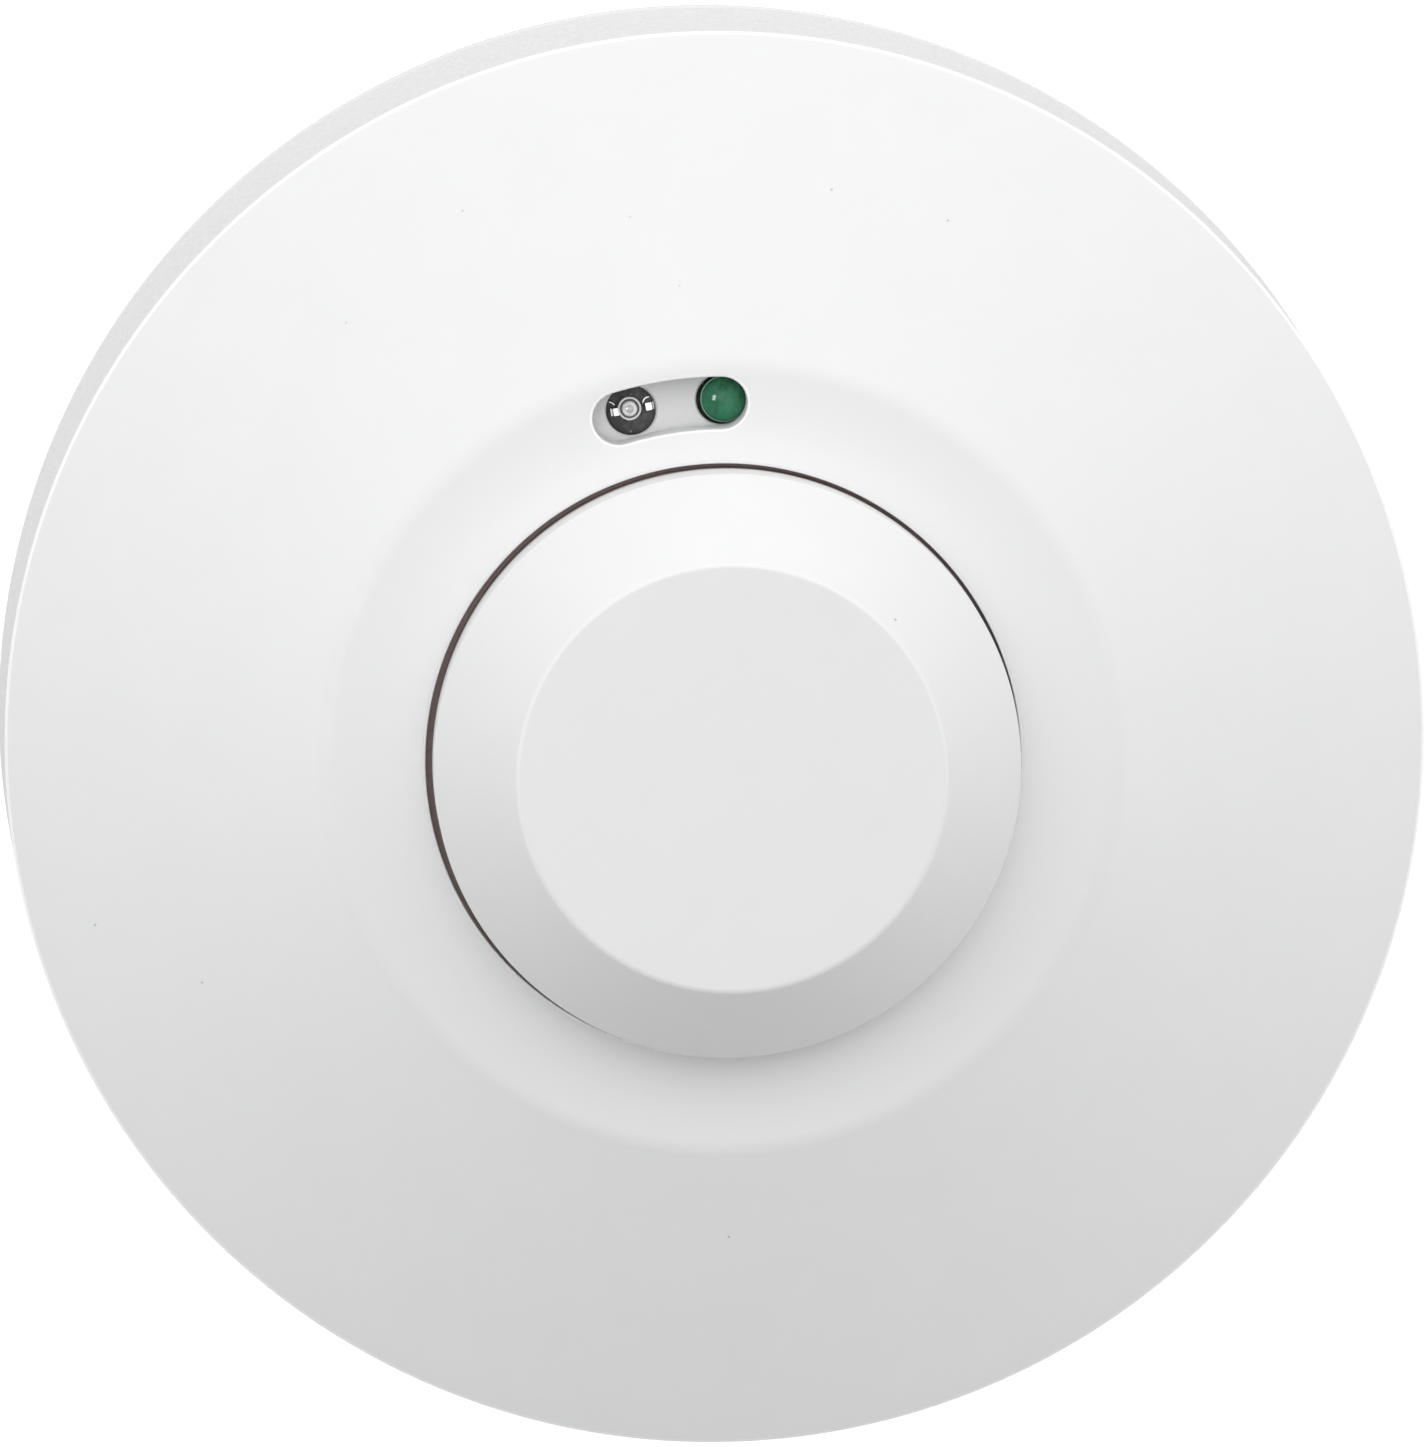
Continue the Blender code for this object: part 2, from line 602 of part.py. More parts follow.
POWER_LED = (1.9 * MM, 1.9 * MM, 0.8 * MM)
ALARM_LED_LENS = (0.95 * MM, 0.2 * MM, 0.6 * MM)
ALARM_LED_FRAME_HALF_SIDE = 1.1 * MM
ALARM_LED_FRAME_HEIGHT = 0.4 * MM
ALARM_LED_LEAD_HALF_WIDTH = 0.3 * MM
ALARM_LED_LEAD_REACH = 1.85 * MM


def make_alarm_led_frame(bottom, material):
    """The alarm indicator's square tinned frame, with a flat lead on two of its sides."""
    side = ALARM_LED_FRAME_HALF_SIDE
    half = ALARM_LED_LEAD_HALF_WIDTH
    reach = ALARM_LED_LEAD_REACH
    quarter = [(half, -reach), (half, -side), (side, -side)]
    right = quarter + [(x, -y) for x, y in reversed(quarter)]
    outline = [Vector(point) for point in right + [(-x, -y) for x, y in right]]
    points = placed(outline, WINDOW_RADIUS, ALARM_LED_ANGLE)
    mesh = prism_mesh("alarm_led_frame", [(points, bottom, bottom + ALARM_LED_FRAME_HEIGHT)])
    return link("alarm_led_frame", mesh, material)


def make_indicators(materials):
    """The green power indicator, and the alarm indicator's frame and clear lens."""
    on_board = BOARD_TOP + GAP
    power_place = polar(WINDOW_RADIUS, POWER_LED_ANGLE)
    alarm_place = polar(WINDOW_RADIUS, ALARM_LED_ANGLE)
    lens_bottom = on_board + ALARM_LED_FRAME_HEIGHT + GAP
    return [
        dome("power_led", POWER_LED, power_place, on_board, 24, materials["green"]),
        make_alarm_led_frame(on_board, materials["tin"]),
        dome("alarm_led_lens", ALARM_LED_LENS, alarm_place, lens_bottom, SMALL_STEPS, materials["clear"]),
    ]


THERMISTOR_RADIUS = 12.0 * MM
BEAD_MIDDLE = 44.6 * MM
BEAD_HALF_SIZE = (1.2 * MM, 1.5 * MM, 1.6 * MM)
BEAD_LEAD_RADIUS = 0.3 * MM
BEAD_LEAD_HALF_SPACING = 0.75 * MM


def make_thermistor(index, angle, material):
    """A glass-coated bead on two stiff leads, standing up into the hollow button."""
    centre = polar(THERMISTOR_RADIUS, angle)
    name = f"thermistor_{index}"
    bm = bmesh.new()
    bmesh.ops.create_uvsphere(bm, u_segments=12, v_segments=8, radius=1.0)
    bmesh.ops.scale(bm, vec=BEAD_HALF_SIZE, verts=bm.verts)
    turn = Matrix.Rotation(math.radians(angle), 3, "Z")
    bmesh.ops.rotate(bm, cent=(0.0, 0.0, 0.0), matrix=turn, verts=bm.verts)
    bmesh.ops.translate(bm, vec=(centre.x, centre.y, BEAD_MIDDLE), verts=bm.verts)
    bead = link(name, finish_mesh(bm, name, smooth_angle=80.0), material)
    leads = []
    for side in (-BEAD_LEAD_HALF_SPACING, BEAD_LEAD_HALF_SPACING):
        lead = [point + Vector((0.0, side)) for point in circle(BEAD_LEAD_RADIUS, 8)]
        leads.append((placed(lead, THERMISTOR_RADIUS, angle), BOARD_TOP + GAP, BEAD_MIDDLE))
    combine(bead, "UNION", prism_mesh("leads", leads))
    return bead


MICROCONTROLLER_SIZE = (7.0 * MM, 7.0 * MM, 1.0 * MM)
MICROCONTROLLER_PLACE = (-13.0 * MM, -11.0 * MM)
RELAY_SIZE = (15.0 * MM, 12.0 * MM, 11.0 * MM)
RELAY_PLACE = (0.0, -15.0 * MM)
SUPPLY_SIZE = (13.0 * MM, 9.0 * MM, 7.0 * MM)
SUPPLY_PLACE = (0.0, 15.0 * MM)
CAPACITOR_RADIUS = 4.0 * MM
CAPACITOR_HEIGHT = 12.0 * MM
CAPACITOR_PLACES = ((-15.0 * MM, 4.0 * MM), (15.0 * MM, 4.0 * MM))


def can(name, centre, radius, top, height, material):
    """A capacitor can hanging under the board, with the crimped waist that such cans have."""
    bottom = top - height
    bevel = 0.5 * MM
    waist_depth = 0.4 * MM
    waist = top - 2.0 * MM
    waist_half_height = 0.6 * MM
    outline = [
        (0.0, bottom),
        (radius - bevel, bottom),
        (radius, bottom + bevel),
        (radius, waist - waist_half_height),
        (radius - waist_depth, waist),
        (radius, waist + waist_half_height),
        (radius, top),
        (0.0, top),
    ]
    mesh = turned_mesh(name, outline, SMALL_STEPS)
    mesh.transform(Matrix.Translation((*centre, 0.0)))
    return link(name, mesh, material)


def make_board_components(materials):
    """The microcontroller on the board, and the relay, power supply and capacitors under it."""
    on_board = BOARD_TOP + GAP
    under_board = BOARD_BOTTOM - GAP
    package = materials["package"]
    relay_bottom = under_board - RELAY_SIZE[2]
    supply_bottom = under_board - SUPPLY_SIZE[2]
    parts = [
        box_part("microcontroller", MICROCONTROLLER_SIZE, MICROCONTROLLER_PLACE, on_board, package),
        box_part("relay", RELAY_SIZE, RELAY_PLACE, relay_bottom, materials["relay"], 0.5 * MM),
        box_part("power_supply", SUPPLY_SIZE, SUPPLY_PLACE, supply_bottom, package, 0.4 * MM),
    ]
    for index, place in enumerate(CAPACITOR_PLACES, start=1):
        name = f"capacitor_{index}"
        sleeve = materials["sleeve"]
        parts.append(can(name, place, CAPACITOR_RADIUS, under_board, CAPACITOR_HEIGHT, sleeve))
    return parts


def make_contact_pins(material):
    """Brass pins from the board down through the chassis, each resting on a leaf of the base."""
    bottom = LEAF_TOP + LEAF_THICKNESS + GAP
    top = BOARD_BOTTOM - GAP
    radius = CONTACT_PIN_RADIUS
    outline = [
        (0.0, bottom),
        (radius * 0.6, bottom),
        (radius, bottom + radius * 0.4),
        (radius, top),
        (0.0, top),
    ]
    pins = []
    for index, angle in enumerate(TERMINAL_ANGLES, start=1):
        name = f"contact_pin_{index}"
        mesh = turned_mesh(name, outline, SCREW_STEPS)
        mesh.transform(Matrix.Translation((*polar(CONTACT_RADIUS, angle), 0.0)))
        pins.append(link(name, mesh, material))
    return pins


# ---------------------------------------------------------------- test button and its switch
STEM_RADIUS = 2.6 * MM
SPRING_SEAT_RADIUS = 6.4 * MM
SPRING_SEAT_BOTTOM = 40.0 * MM
SPRING_SEAT_THICKNESS = 1.2 * MM
SWITCH_HALF_SIDE = 3.0 * MM
SWITCH_TOP = 35.1 * MM
SWITCH_WELL_RADIUS = 1.9 * MM
SWITCH_WELL_DEPTH = 2.1 * MM
PLUNGER_RADIUS = 1.5 * MM
PLUNGER_BEVEL = 0.3 * MM
PLUNGER_TOP = 37.1 * MM
SPRING_WIRE_RADIUS = 0.4 * MM
SPRING_RADIUS = 5.3 * MM
SPRING_TURNS = 5


def make_test_button(material):
    """The cap: flat face, steep chamfer, straight skirt, and a flange that the cover holds down."""
    flange_top = BUTTON_HOLE_HEIGHT - COVER_WALL - GAP
    flange_bottom = flange_top - BUTTON_FLANGE_THICKNESS
    inner = BUTTON_RADIUS - BUTTON_WALL
    inner_top = BUTTON_FACE_HEIGHT - BUTTON_WALL
    stem_bottom = PLUNGER_TOP + GAP
    seat_top = SPRING_SEAT_BOTTOM + SPRING_SEAT_THICKNESS
    outline = round_corners(
        [
            (0.0, stem_bottom),
            (STEM_RADIUS, stem_bottom),
            (STEM_RADIUS, SPRING_SEAT_BOTTOM),
            (SPRING_SEAT_RADIUS, SPRING_SEAT_BOTTOM),
            (SPRING_SEAT_RADIUS, seat_top),
            (STEM_RADIUS, seat_top),
            (STEM_RADIUS, inner_top),
            (BUTTON_FACE_RADIUS - 1.0 * MM, inner_top),
            (inner, BUTTON_SHOULDER_HEIGHT - 0.4 * MM),
            (inner, flange_bottom),
            (BUTTON_FLANGE_RADIUS, flange_bottom),
            (BUTTON_FLANGE_RADIUS, flange_top),
            (BUTTON_RADIUS, flange_top),
            (BUTTON_RADIUS, BUTTON_SHOULDER_HEIGHT, 0.4 * MM),
            (BUTTON_FACE_RADIUS, BUTTON_FACE_HEIGHT, 0.9 * MM),
            (0.0, BUTTON_FACE_HEIGHT),
        ],
        steps=2,
    )
    return link("test_button", turned_mesh("test_button", outline, LARGE_STEPS), material)


def spring_height(turns):
    """Height of the wire's middle. The first and last half turns lie nearly flat, as closed ends do."""
    bottom = BOARD_TOP + GAP + SPRING_WIRE_RADIUS
    top = SPRING_SEAT_BOTTOM - GAP - SPRING_WIRE_RADIUS
    end_rise = 0.125 * MM
    climb = min(max((turns - 0.5) / (SPRING_TURNS - 1.0), 0.0), 1.0)
    first_end = min(turns, 0.5) * 2 * end_rise
    last_end = min(SPRING_TURNS - turns, 0.5) * 2 * end_rise
    return bottom + (top - bottom - 2 * end_rise) * climb + first_end - last_end + end_rise


def make_return_spring(material):
    """A coil spring round the switch, from the board up to the seat on the button's stem."""
    steps_per_turn = 14
    count = SPRING_TURNS * steps_per_turn
    curve = bpy.data.curves.new("return_spring", "CURVE")
    curve.dimensions = "3D"
    curve.bevel_depth = SPRING_WIRE_RADIUS
    curve.bevel_resolution = 1
    curve.use_fill_caps = True
    spline = curve.splines.new("POLY")
    spline.points.add(count)
    for i in range(count + 1):
        turns = i / steps_per_turn
        spline.points[i].co = (*polar(SPRING_RADIUS, 360.0 * turns), spring_height(turns), 1.0)
    return link("return_spring", curve, material)


def make_test_switch(materials):
    """A push switch on the board: its body, with a well, and the plunger that stands in the well."""
    side = 2 * SWITCH_HALF_SIDE
    on_board = BOARD_TOP + GAP
    size = (side, side, SWITCH_TOP - on_board)
    body = box_part("test_switch", size, (0.0, 0.0), on_board, materials["package"])
    well_bottom = SWITCH_TOP - SWITCH_WELL_DEPTH
    well = [(circle(SWITCH_WELL_RADIUS), well_bottom, SWITCH_TOP + THROUGH)]
    combine(body, "DIFFERENCE", prism_mesh("well", well))
    bottom = well_bottom + BUTTON_TRAVEL + GAP
    outline = [
        (0.0, bottom),
        (PLUNGER_RADIUS, bottom),
        (PLUNGER_RADIUS, PLUNGER_TOP - PLUNGER_BEVEL),
        (PLUNGER_RADIUS - PLUNGER_BEVEL, PLUNGER_TOP),
        (0.0, PLUNGER_TOP),
    ]
    mesh = turned_mesh("switch_plunger", outline, SMALL_STEPS)
    return body, link("switch_plunger", mesh, materials["relay"])


# ---------------------------------------------------------------- assembly
def make_head_group(materials):
    steel = materials["steel"]
    parts = [
        make_chassis(materials["chassis"]),
        make_front_cover(materials["cover"]),
        make_led_shield(materials["shield"]),
        make_circuit_board(materials["board"]),
        *make_indicators(materials),
        make_thermistor(1, 0.0, materials["ceramic"]),
        make_thermistor(2, 180.0, materials["ceramic"]),
        *make_board_components(materials),
        *make_contact_pins(materials["brass"]),
    ]
    for index, angle in enumerate(BOARD_SCREW_ANGLES, start=1):
        centre = polar(BOARD_SCREW_RADIUS, angle)
        parts.append(screw(f"board_screw_{index}", centre, SHIELD_TOP + GAP, BOARD_SCREW, steel))
    for index, angle in enumerate(COVER_SCREW_ANGLES, start=1):
        centre = polar(COVER_SCREW_RADIUS, angle)
        seat = CHASSIS_BOTTOM - GAP
        parts.append(screw(f"cover_screw_{index}", centre, seat, COVER_SCREW, steel, head_up=False))
    return parts


def main():
    clear_scene()
    materials = make_materials()
    base_pivot = make_pivot("base_body", 0.0)
    head_pivot = make_pivot("head_twist_axis", CHASSIS_BOTTOM)
    button_pivot = make_pivot("test_button_axis", BUTTON_SHOULDER_HEIGHT)
    plunger_pivot = make_pivot("switch_plunger_axis", PLUNGER_TOP)
    hang_from(head_pivot, button_pivot, plunger_pivot)

    hang_from(base_pivot, *make_base_group(materials))
    switch_body, plunger = make_test_switch(materials)
    hang_from(head_pivot, *make_head_group(materials), switch_body)
    button = make_test_button(materials["cover"])
    spring = make_return_spring(materials["steel"])
    for piece in (button, spring):
        piece.parent = button_pivot
        piece.matrix_parent_inverse = Matrix.Translation((0.0, 0.0, -BUTTON_SHOULDER_HEIGHT))
    plunger.parent = plunger_pivot
    plunger.matrix_parent_inverse = Matrix.Translation((0.0, 0.0, -PLUNGER_TOP))


main()
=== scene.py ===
"""Looks of the round heat detector: its white mouldings, indicators, board, base and lighting.

Metres and degrees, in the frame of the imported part: the mounting face is at z = 0, +Z points out of the
front, and +Y points towards the indicator window.
"""

import math

import bmesh
import bpy
from mathutils import Matrix, Vector


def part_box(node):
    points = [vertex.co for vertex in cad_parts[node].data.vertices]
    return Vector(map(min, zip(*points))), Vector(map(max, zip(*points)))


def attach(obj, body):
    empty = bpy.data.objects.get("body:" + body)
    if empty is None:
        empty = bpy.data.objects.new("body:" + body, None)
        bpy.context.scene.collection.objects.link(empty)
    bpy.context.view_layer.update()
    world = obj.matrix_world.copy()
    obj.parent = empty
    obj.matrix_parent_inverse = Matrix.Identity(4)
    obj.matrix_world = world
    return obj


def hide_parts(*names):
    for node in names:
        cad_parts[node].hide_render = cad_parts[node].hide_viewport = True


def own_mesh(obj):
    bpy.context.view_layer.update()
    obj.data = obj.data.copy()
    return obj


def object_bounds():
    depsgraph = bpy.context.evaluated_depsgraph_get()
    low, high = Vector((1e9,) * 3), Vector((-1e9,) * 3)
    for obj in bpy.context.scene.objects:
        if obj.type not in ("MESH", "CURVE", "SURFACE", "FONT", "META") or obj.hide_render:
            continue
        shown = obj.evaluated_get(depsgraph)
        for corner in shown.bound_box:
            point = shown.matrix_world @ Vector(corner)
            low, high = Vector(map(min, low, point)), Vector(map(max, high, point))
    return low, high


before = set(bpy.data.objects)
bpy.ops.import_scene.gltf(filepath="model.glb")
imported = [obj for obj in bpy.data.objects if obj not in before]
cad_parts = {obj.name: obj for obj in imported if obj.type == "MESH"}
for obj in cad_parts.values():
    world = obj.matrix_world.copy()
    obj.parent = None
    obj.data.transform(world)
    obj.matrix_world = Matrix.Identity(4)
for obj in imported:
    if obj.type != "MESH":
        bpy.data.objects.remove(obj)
CAD_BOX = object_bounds()

MM = 0.001

# ---------------------------------------------------------------- driving dimensions
BASE_RADIUS = CAD_BOX[1].x
COVER_LOW, COVER_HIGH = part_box("front_cover")
BUTTON_LOW, BUTTON_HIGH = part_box("test_button")
SHIELD_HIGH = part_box("led_shield")[1]
BOARD_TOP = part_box("circuit_board")[1].z
SKIRT_RADIUS = COVER_HIGH.x
# Pieces that touch on the real object are this far apart, as they are in the CAD.
GAP = 0.3 * MM

RIM_RADIUS = 59.0 * MM
RIM_HEIGHT = 25.0 * MM
RIM_ROUNDING = 0.55 * MM
WALL = 2.0 * MM
RIDGE_RADIUS = 32.4 * MM
RIDGE_HEIGHT = 37.0 * MM
RIDGE_ROUNDING = 4.2 * MM
SLOPE_BULGE = 0.4 * MM
HOLE_RADIUS = 24.4 * MM
HOLE_HEIGHT = COVER_HIGH.z
HOLE_ROUNDING = 0.28 * MM
LEDGE_SAG = 0.2 * MM

BUTTON_RADIUS = 23.95 * MM
SHOULDER_HEIGHT = 42.0 * MM
SHOULDER_ROUNDING = 0.35 * MM
FACE_RADIUS = 17.4 * MM
FACE_HEIGHT = BUTTON_HIGH.z
FACE_ROUNDING = 0.7 * MM
BUTTON_SIDE_PLAY = 0.15 * MM

WINDOW_RADIUS = 29.32 * MM
WINDOW_HALF_WIDTH = 2.13 * MM
WINDOW_ANGLES = (90.4, 107.1)
WINDOW_ROUNDING = 0.22 * MM
LED_HOLE_RADIUS = 2.05 * MM
# A place is a distance from the axis and an angle.
POWER_LED_PLACE = (29.33 * MM, 89.76)
ALARM_LED_PLACE = (29.42 * MM, 104.85)
HOLE_PLACES = ((29.3 * MM, 90.15), (29.36 * MM, 104.75))

BOARD_SCREW_ANGLES = (30.0, 150.0, 270.0)
BOARD_SCREW_RADIUS = 30.5 * MM
BOARD_SCREW_HOLE = 1.4 * MM
COVER_SCREW_ANGLES = (60.0, 180.0, 300.0)
COVER_SCREW_RADIUS = 53.8 * MM
COVER_SCREW_HOLE = 1.6 * MM
COVER_HOLE_DEPTH = 8.0 * MM
COVER_BOSS_RADIUS = 2.7 * MM
# From the chassis's foot up to the foot of a boss, which stands on the chassis.
COVER_BOSS_RISE = 11.3 * MM

ROUND_STEPS = 256
# Points closer together than this are one point.
TINY = 1e-7
SMOOTH_ANGLE = 32.0
SMOOTH_ANGLE_AFTER_CUTS = 24.0
EDGE_MARK = "edge"

# ---------------------------------------------------------------- the photograph's viewpoint
VIEW_TILT = 7.1
VIEW_AZIMUTH = 111.3
VIEW_DISTANCE = 881.9 * MM
VIEW_AIM = (0.254 * MM, -1.575 * MM)
# In millimetres, as lenses are named.
VIEW_LENS = 264.2
VIEW_SENSOR = 36.0


# ---------------------------------------------------------------- outlines
def polar(radius, degrees):
    angle = math.radians(degrees)
    return Vector((radius * math.cos(angle), radius * math.sin(angle)))


def round_corners(corners, steps=6):
    """Corners are (x, y) or (x, y, radius); each with a radius becomes an arc tangent to both sides."""
    points = []
    for index, corner in enumerate(corners):
        here = Vector(corner[:2])
        radius = corner[2] if len(corner) > 2 else 0.0
        if radius == 0.0:
            points.append(here)
            continue
        back = (Vector(corners[index - 1][:2]) - here).normalized()
        ahead = (Vector(corners[(index + 1) % len(corners)][:2]) - here).normalized()
        half = back.angle(ahead) / 2
        centre = here + (back + ahead).normalized() * (radius / math.sin(half))
        start = here + back * (radius / math.tan(half)) - centre
        turn = start.angle_signed(here + ahead * (radius / math.tan(half)) - centre)
        for step in range(steps + 1):
            points.append(centre + Matrix.Rotation(-turn * step / steps, 2) @ start)
    return points


def arc_slot(radius, half_width, first, last, steps=24, end_steps=20):
    """A slot that follows a circle about the axis, with round ends, anticlockwise."""
    span = last - first
    points = [polar(radius + half_width, first + span * i / steps) for i in range(steps + 1)]
    end = polar(radius, last)
    points += [end + polar(half_width, last + 180.0 * i / end_steps) for i in range(1, end_steps)]
    points += [polar(radius - half_width, last - span * i / steps) for i in range(steps + 1)]
    end = polar(radius, first)
    back = first + 180.0
    points += [end + polar(half_width, back + 180.0 * i / end_steps) for i in range(1, end_steps)]
    return points


def circle(radius, steps=48):
    return [polar(radius, 360.0 * i / steps) for i in range(steps)]


def placed(points, radius, degrees):
    """Points drawn about the origin, moved out to a radius and turned to face outwards there."""
    spin = Matrix.Rotation(-math.radians(degrees), 2)
    return [spin @ Vector(point) + polar(radius, degrees) for point in points]


def sector(inner, outer, first, last, rounding, steps=6):
    """Part of a ring between two angles, with rounded corners, anticlockwise."""
    arc = [polar(outer, first + (last - first) * i / steps) for i in range(steps + 1)]
    arc += [polar(inner, last - (last - first) * i / steps) for i in range(steps + 1)]
    rounded = {0, steps, steps + 1, 2 * steps + 1}
    return round_corners([(*p, rounding) if i in rounded else tuple(p) for i, p in enumerate(arc)], 4)


def slope_height(radius):
    """Height of the cover's sloping front at a distance from the axis."""
    share = (RIM_RADIUS - radius) / (RIM_RADIUS - RIDGE_RADIUS)
    return RIM_HEIGHT + (RIDGE_HEIGHT - RIM_HEIGHT) * share + 4 * SLOPE_BULGE * share * (1 - share)


def ledge_height(radius):
    """Height of the ring round the button at a distance from the axis."""
    share = (RIDGE_RADIUS - radius) / (RIDGE_RADIUS - HOLE_RADIUS)
    return RIDGE_HEIGHT + (HOLE_HEIGHT - RIDGE_HEIGHT) * share - 4 * LEDGE_SAG * share * (1 - share)


# ---------------------------------------------------------------- meshes
def finish_mesh(bm, name):
    bmesh.ops.remove_doubles(bm, verts=bm.verts, dist=TINY)
    bmesh.ops.dissolve_degenerate(bm, edges=bm.edges, dist=TINY)
    bmesh.ops.recalc_face_normals(bm, faces=bm.faces)
    mesh = bpy.data.meshes.new(name)
    bm.to_mesh(mesh)
    bm.free()
    mesh.shade_smooth()
    mesh.set_sharp_from_angle(angle=math.radians(SMOOTH_ANGLE))
    return mesh


def turned(name, outline, steps=ROUND_STEPS):
    """A closed outline of (radius, height) points spun about the Z axis."""
    bm = bmesh.new()
    verts = [bm.verts.new((point[0], 0.0, point[1])) for point in outline]
    edges = []
    for index, vert in enumerate(verts):
        other = verts[(index + 1) % len(verts)]
        if max(abs(vert.co.x), abs(other.co.x)) > TINY:
            edges.append(bm.edges.new((vert, other)))
    bmesh.ops.spin(
        bm,
        geom=verts + edges,
        cent=(0.0, 0.0, 0.0),
        axis=(0.0, 0.0, 1.0),
        angle=2 * math.pi,
        steps=steps,
        use_merge=True,
    )
    return finish_mesh(bm, name)


def stacked(name, rings):
    """Closed loops of equal length, skinned one to the next and capped at both ends."""
    bm = bmesh.new()
    rows = [[bm.verts.new(point) for point in ring] for ring in rings]
    count = len(rows[0])
    bm.faces.new(rows[0][::-1])
    bm.faces.new(rows[-1])
    for low, high in zip(rows, rows[1:]):
        for i in range(count):
            j = (i + 1) % count
            bm.faces.new((low[i], low[j], high[j], high[i]))
    return finish_mesh(bm, name)


def prism(name, points, bottom, top):
    return stacked(name, [[(*p, bottom) for p in points], [(*p, top) for p in points]])


def joined(name, meshes):
    """Several meshes as one, still separate bodies inside it."""
    bm = bmesh.new()
    for mesh in meshes:
        bm.from_mesh(mesh)
    return finish_mesh(bm, name)


def shaped(mesh, operation, tool):
    """The mesh with a tool mesh joined to it or cut out of it."""
    work = bpy.data.objects.new("work", mesh)
    helper = bpy.data.objects.new("helper", tool)
    for obj in (work, helper):
        bpy.context.scene.collection.objects.link(obj)
    modifier = work.modifiers.new("shape", "BOOLEAN")
    modifier.operation = operation
    modifier.object = helper
    modifier.solver = "EXACT"
    graph = bpy.context.evaluated_depsgraph_get()
    result = bpy.data.meshes.new_from_object(work.evaluated_get(graph))
    result.name = mesh.name
    for obj in (work, helper):
        bpy.data.objects.remove(obj)
    result.shade_smooth()
    result.set_sharp_from_angle(angle=math.radians(SMOOTH_ANGLE_AFTER_CUTS))
    return result


def mark_edges(mesh, is_edge):
    """Marks the faces of rounded corners, which is_edge picks by their middle and normal."""
    mark = mesh.attributes.new(EDGE_MARK, "FLOAT", "CORNER")
    for face in mesh.polygons:
        value = 1.0 if is_edge(face.center, face.normal) else 0.0
        for loop in face.loop_indices:
            mark.data[loop].value = value


def show(name, mesh, material, body, slot, *nodes):
    """Adds a finished piece, which rides on a body and may stand for CAD nodes."""
    piece = bpy.data.objects.new(name, mesh)
    bpy.context.scene.collection.objects.link(piece)
    piece.data.materials.clear()
    piece.data.materials.append(material)
    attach(piece, body)
    if nodes:
        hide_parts(*nodes)
    return piece


# ---------------------------------------------------------------- materials
def new_material(name):
    material = bpy.data.materials.new(name)
    material.use_nodes = True
    tree = material.node_tree
    return material, tree, tree.nodes["Principled BSDF"]


def grey(level):
    return (level, level, level)


def scaled(colour, factor):
    return tuple(channel * factor for channel in colour)


def object_space(tree):
    """A socket with the place in the piece's own space."""
    return tree.nodes.new("ShaderNodeTexCoord").outputs["Object"]


def noise(tree, scale, detail=2.0, roughness=0.5, stretch=None):
    """A noise texture in the piece's own space. Its scale is in features per metre."""
    texture = tree.nodes.new("ShaderNodeTexNoise")
    texture.inputs["Scale"].default_value = scale
    texture.inputs["Detail"].default_value = detail
    texture.inputs["Roughness"].default_value = roughness
    source = object_space(tree)
    if stretch is not None:
        mapping = tree.nodes.new("ShaderNodeMapping")
        mapping.inputs["Scale"].default_value = stretch
        tree.links.new(source, mapping.inputs["Vector"])
        source = mapping.outputs["Vector"]
    tree.links.new(source, texture.inputs["Vector"])
    return texture.outputs["Fac"]


def math_node(tree, operation, first, second):
    node = tree.nodes.new("ShaderNodeMath")
    node.operation = operation
    for index, value in enumerate((first, second)):
        if isinstance(value, float):
            node.inputs[index].default_value = value
        else:
            tree.links.new(value, node.inputs[index])
    return node.outputs["Value"]


def remap(tree, value, low=0.0, high=1.0, from_low=0.3, from_high=0.7):
    """A value taken from one range to another. Unless given, the first range suits a noise texture."""
    node = tree.nodes.new("ShaderNodeMapRange")
    node.inputs["From Min"].default_value = from_low
    node.inputs["From Max"].default_value = from_high
    node.inputs["To Min"].default_value = low
    node.inputs["To Max"].default_value = high
    tree.links.new(value, node.inputs["Value"])
    return node.outputs["Result"]


def height_mask(tree, low, high):
    """0 below one height and 1 above another, in the piece's own space."""
    parts = tree.nodes.new("ShaderNodeSeparateXYZ")
    tree.links.new(object_space(tree), parts.inputs["Vector"])
    return remap(tree, parts.outputs["Z"], from_low=low, from_high=high)


def flat_distance(tree, centre=(0.0, 0.0)):
    """Distance from the upright line through a centre, in the piece's own space."""
    flat = tree.nodes.new("ShaderNodeVectorMath")
    flat.operation = "MULTIPLY"
    flat.inputs[1].default_value = (1.0, 1.0, 0.0)
    apart = tree.nodes.new("ShaderNodeVectorMath")
    apart.operation = "DISTANCE"
    apart.inputs[1].default_value = (*centre, 0.0)
    tree.links.new(object_space(tree), flat.inputs[0])
    tree.links.new(flat.outputs["Vector"], apart.inputs[0])
    return apart.outputs["Value"]


def blend_colours(tree, factor, first, second):
    """Mixes two colours, each a tuple or a socket, by a factor socket: the first where it is 0."""
    node = tree.nodes.new("ShaderNodeMix")
    node.data_type = "RGBA"
    tree.links.new(factor, node.inputs["Factor"])
    for name, colour in (("A", first), ("B", second)):
        socket = next(s for s in node.inputs if s.name == name and s.type == "RGBA")
        if isinstance(colour, tuple):
            socket.default_value = (*colour, 1.0)
        else:
            tree.links.new(colour, socket)
    return next(s for s in node.outputs if s.type == "RGBA")


def blend_edges(tree, tone, colour):
    """The tone, with another colour on the marked corners."""
    mark = tree.nodes.new("ShaderNodeAttribute")
    mark.attribute_name = EDGE_MARK
    return blend_colours(tree, mark.outputs["Fac"], tone, colour)


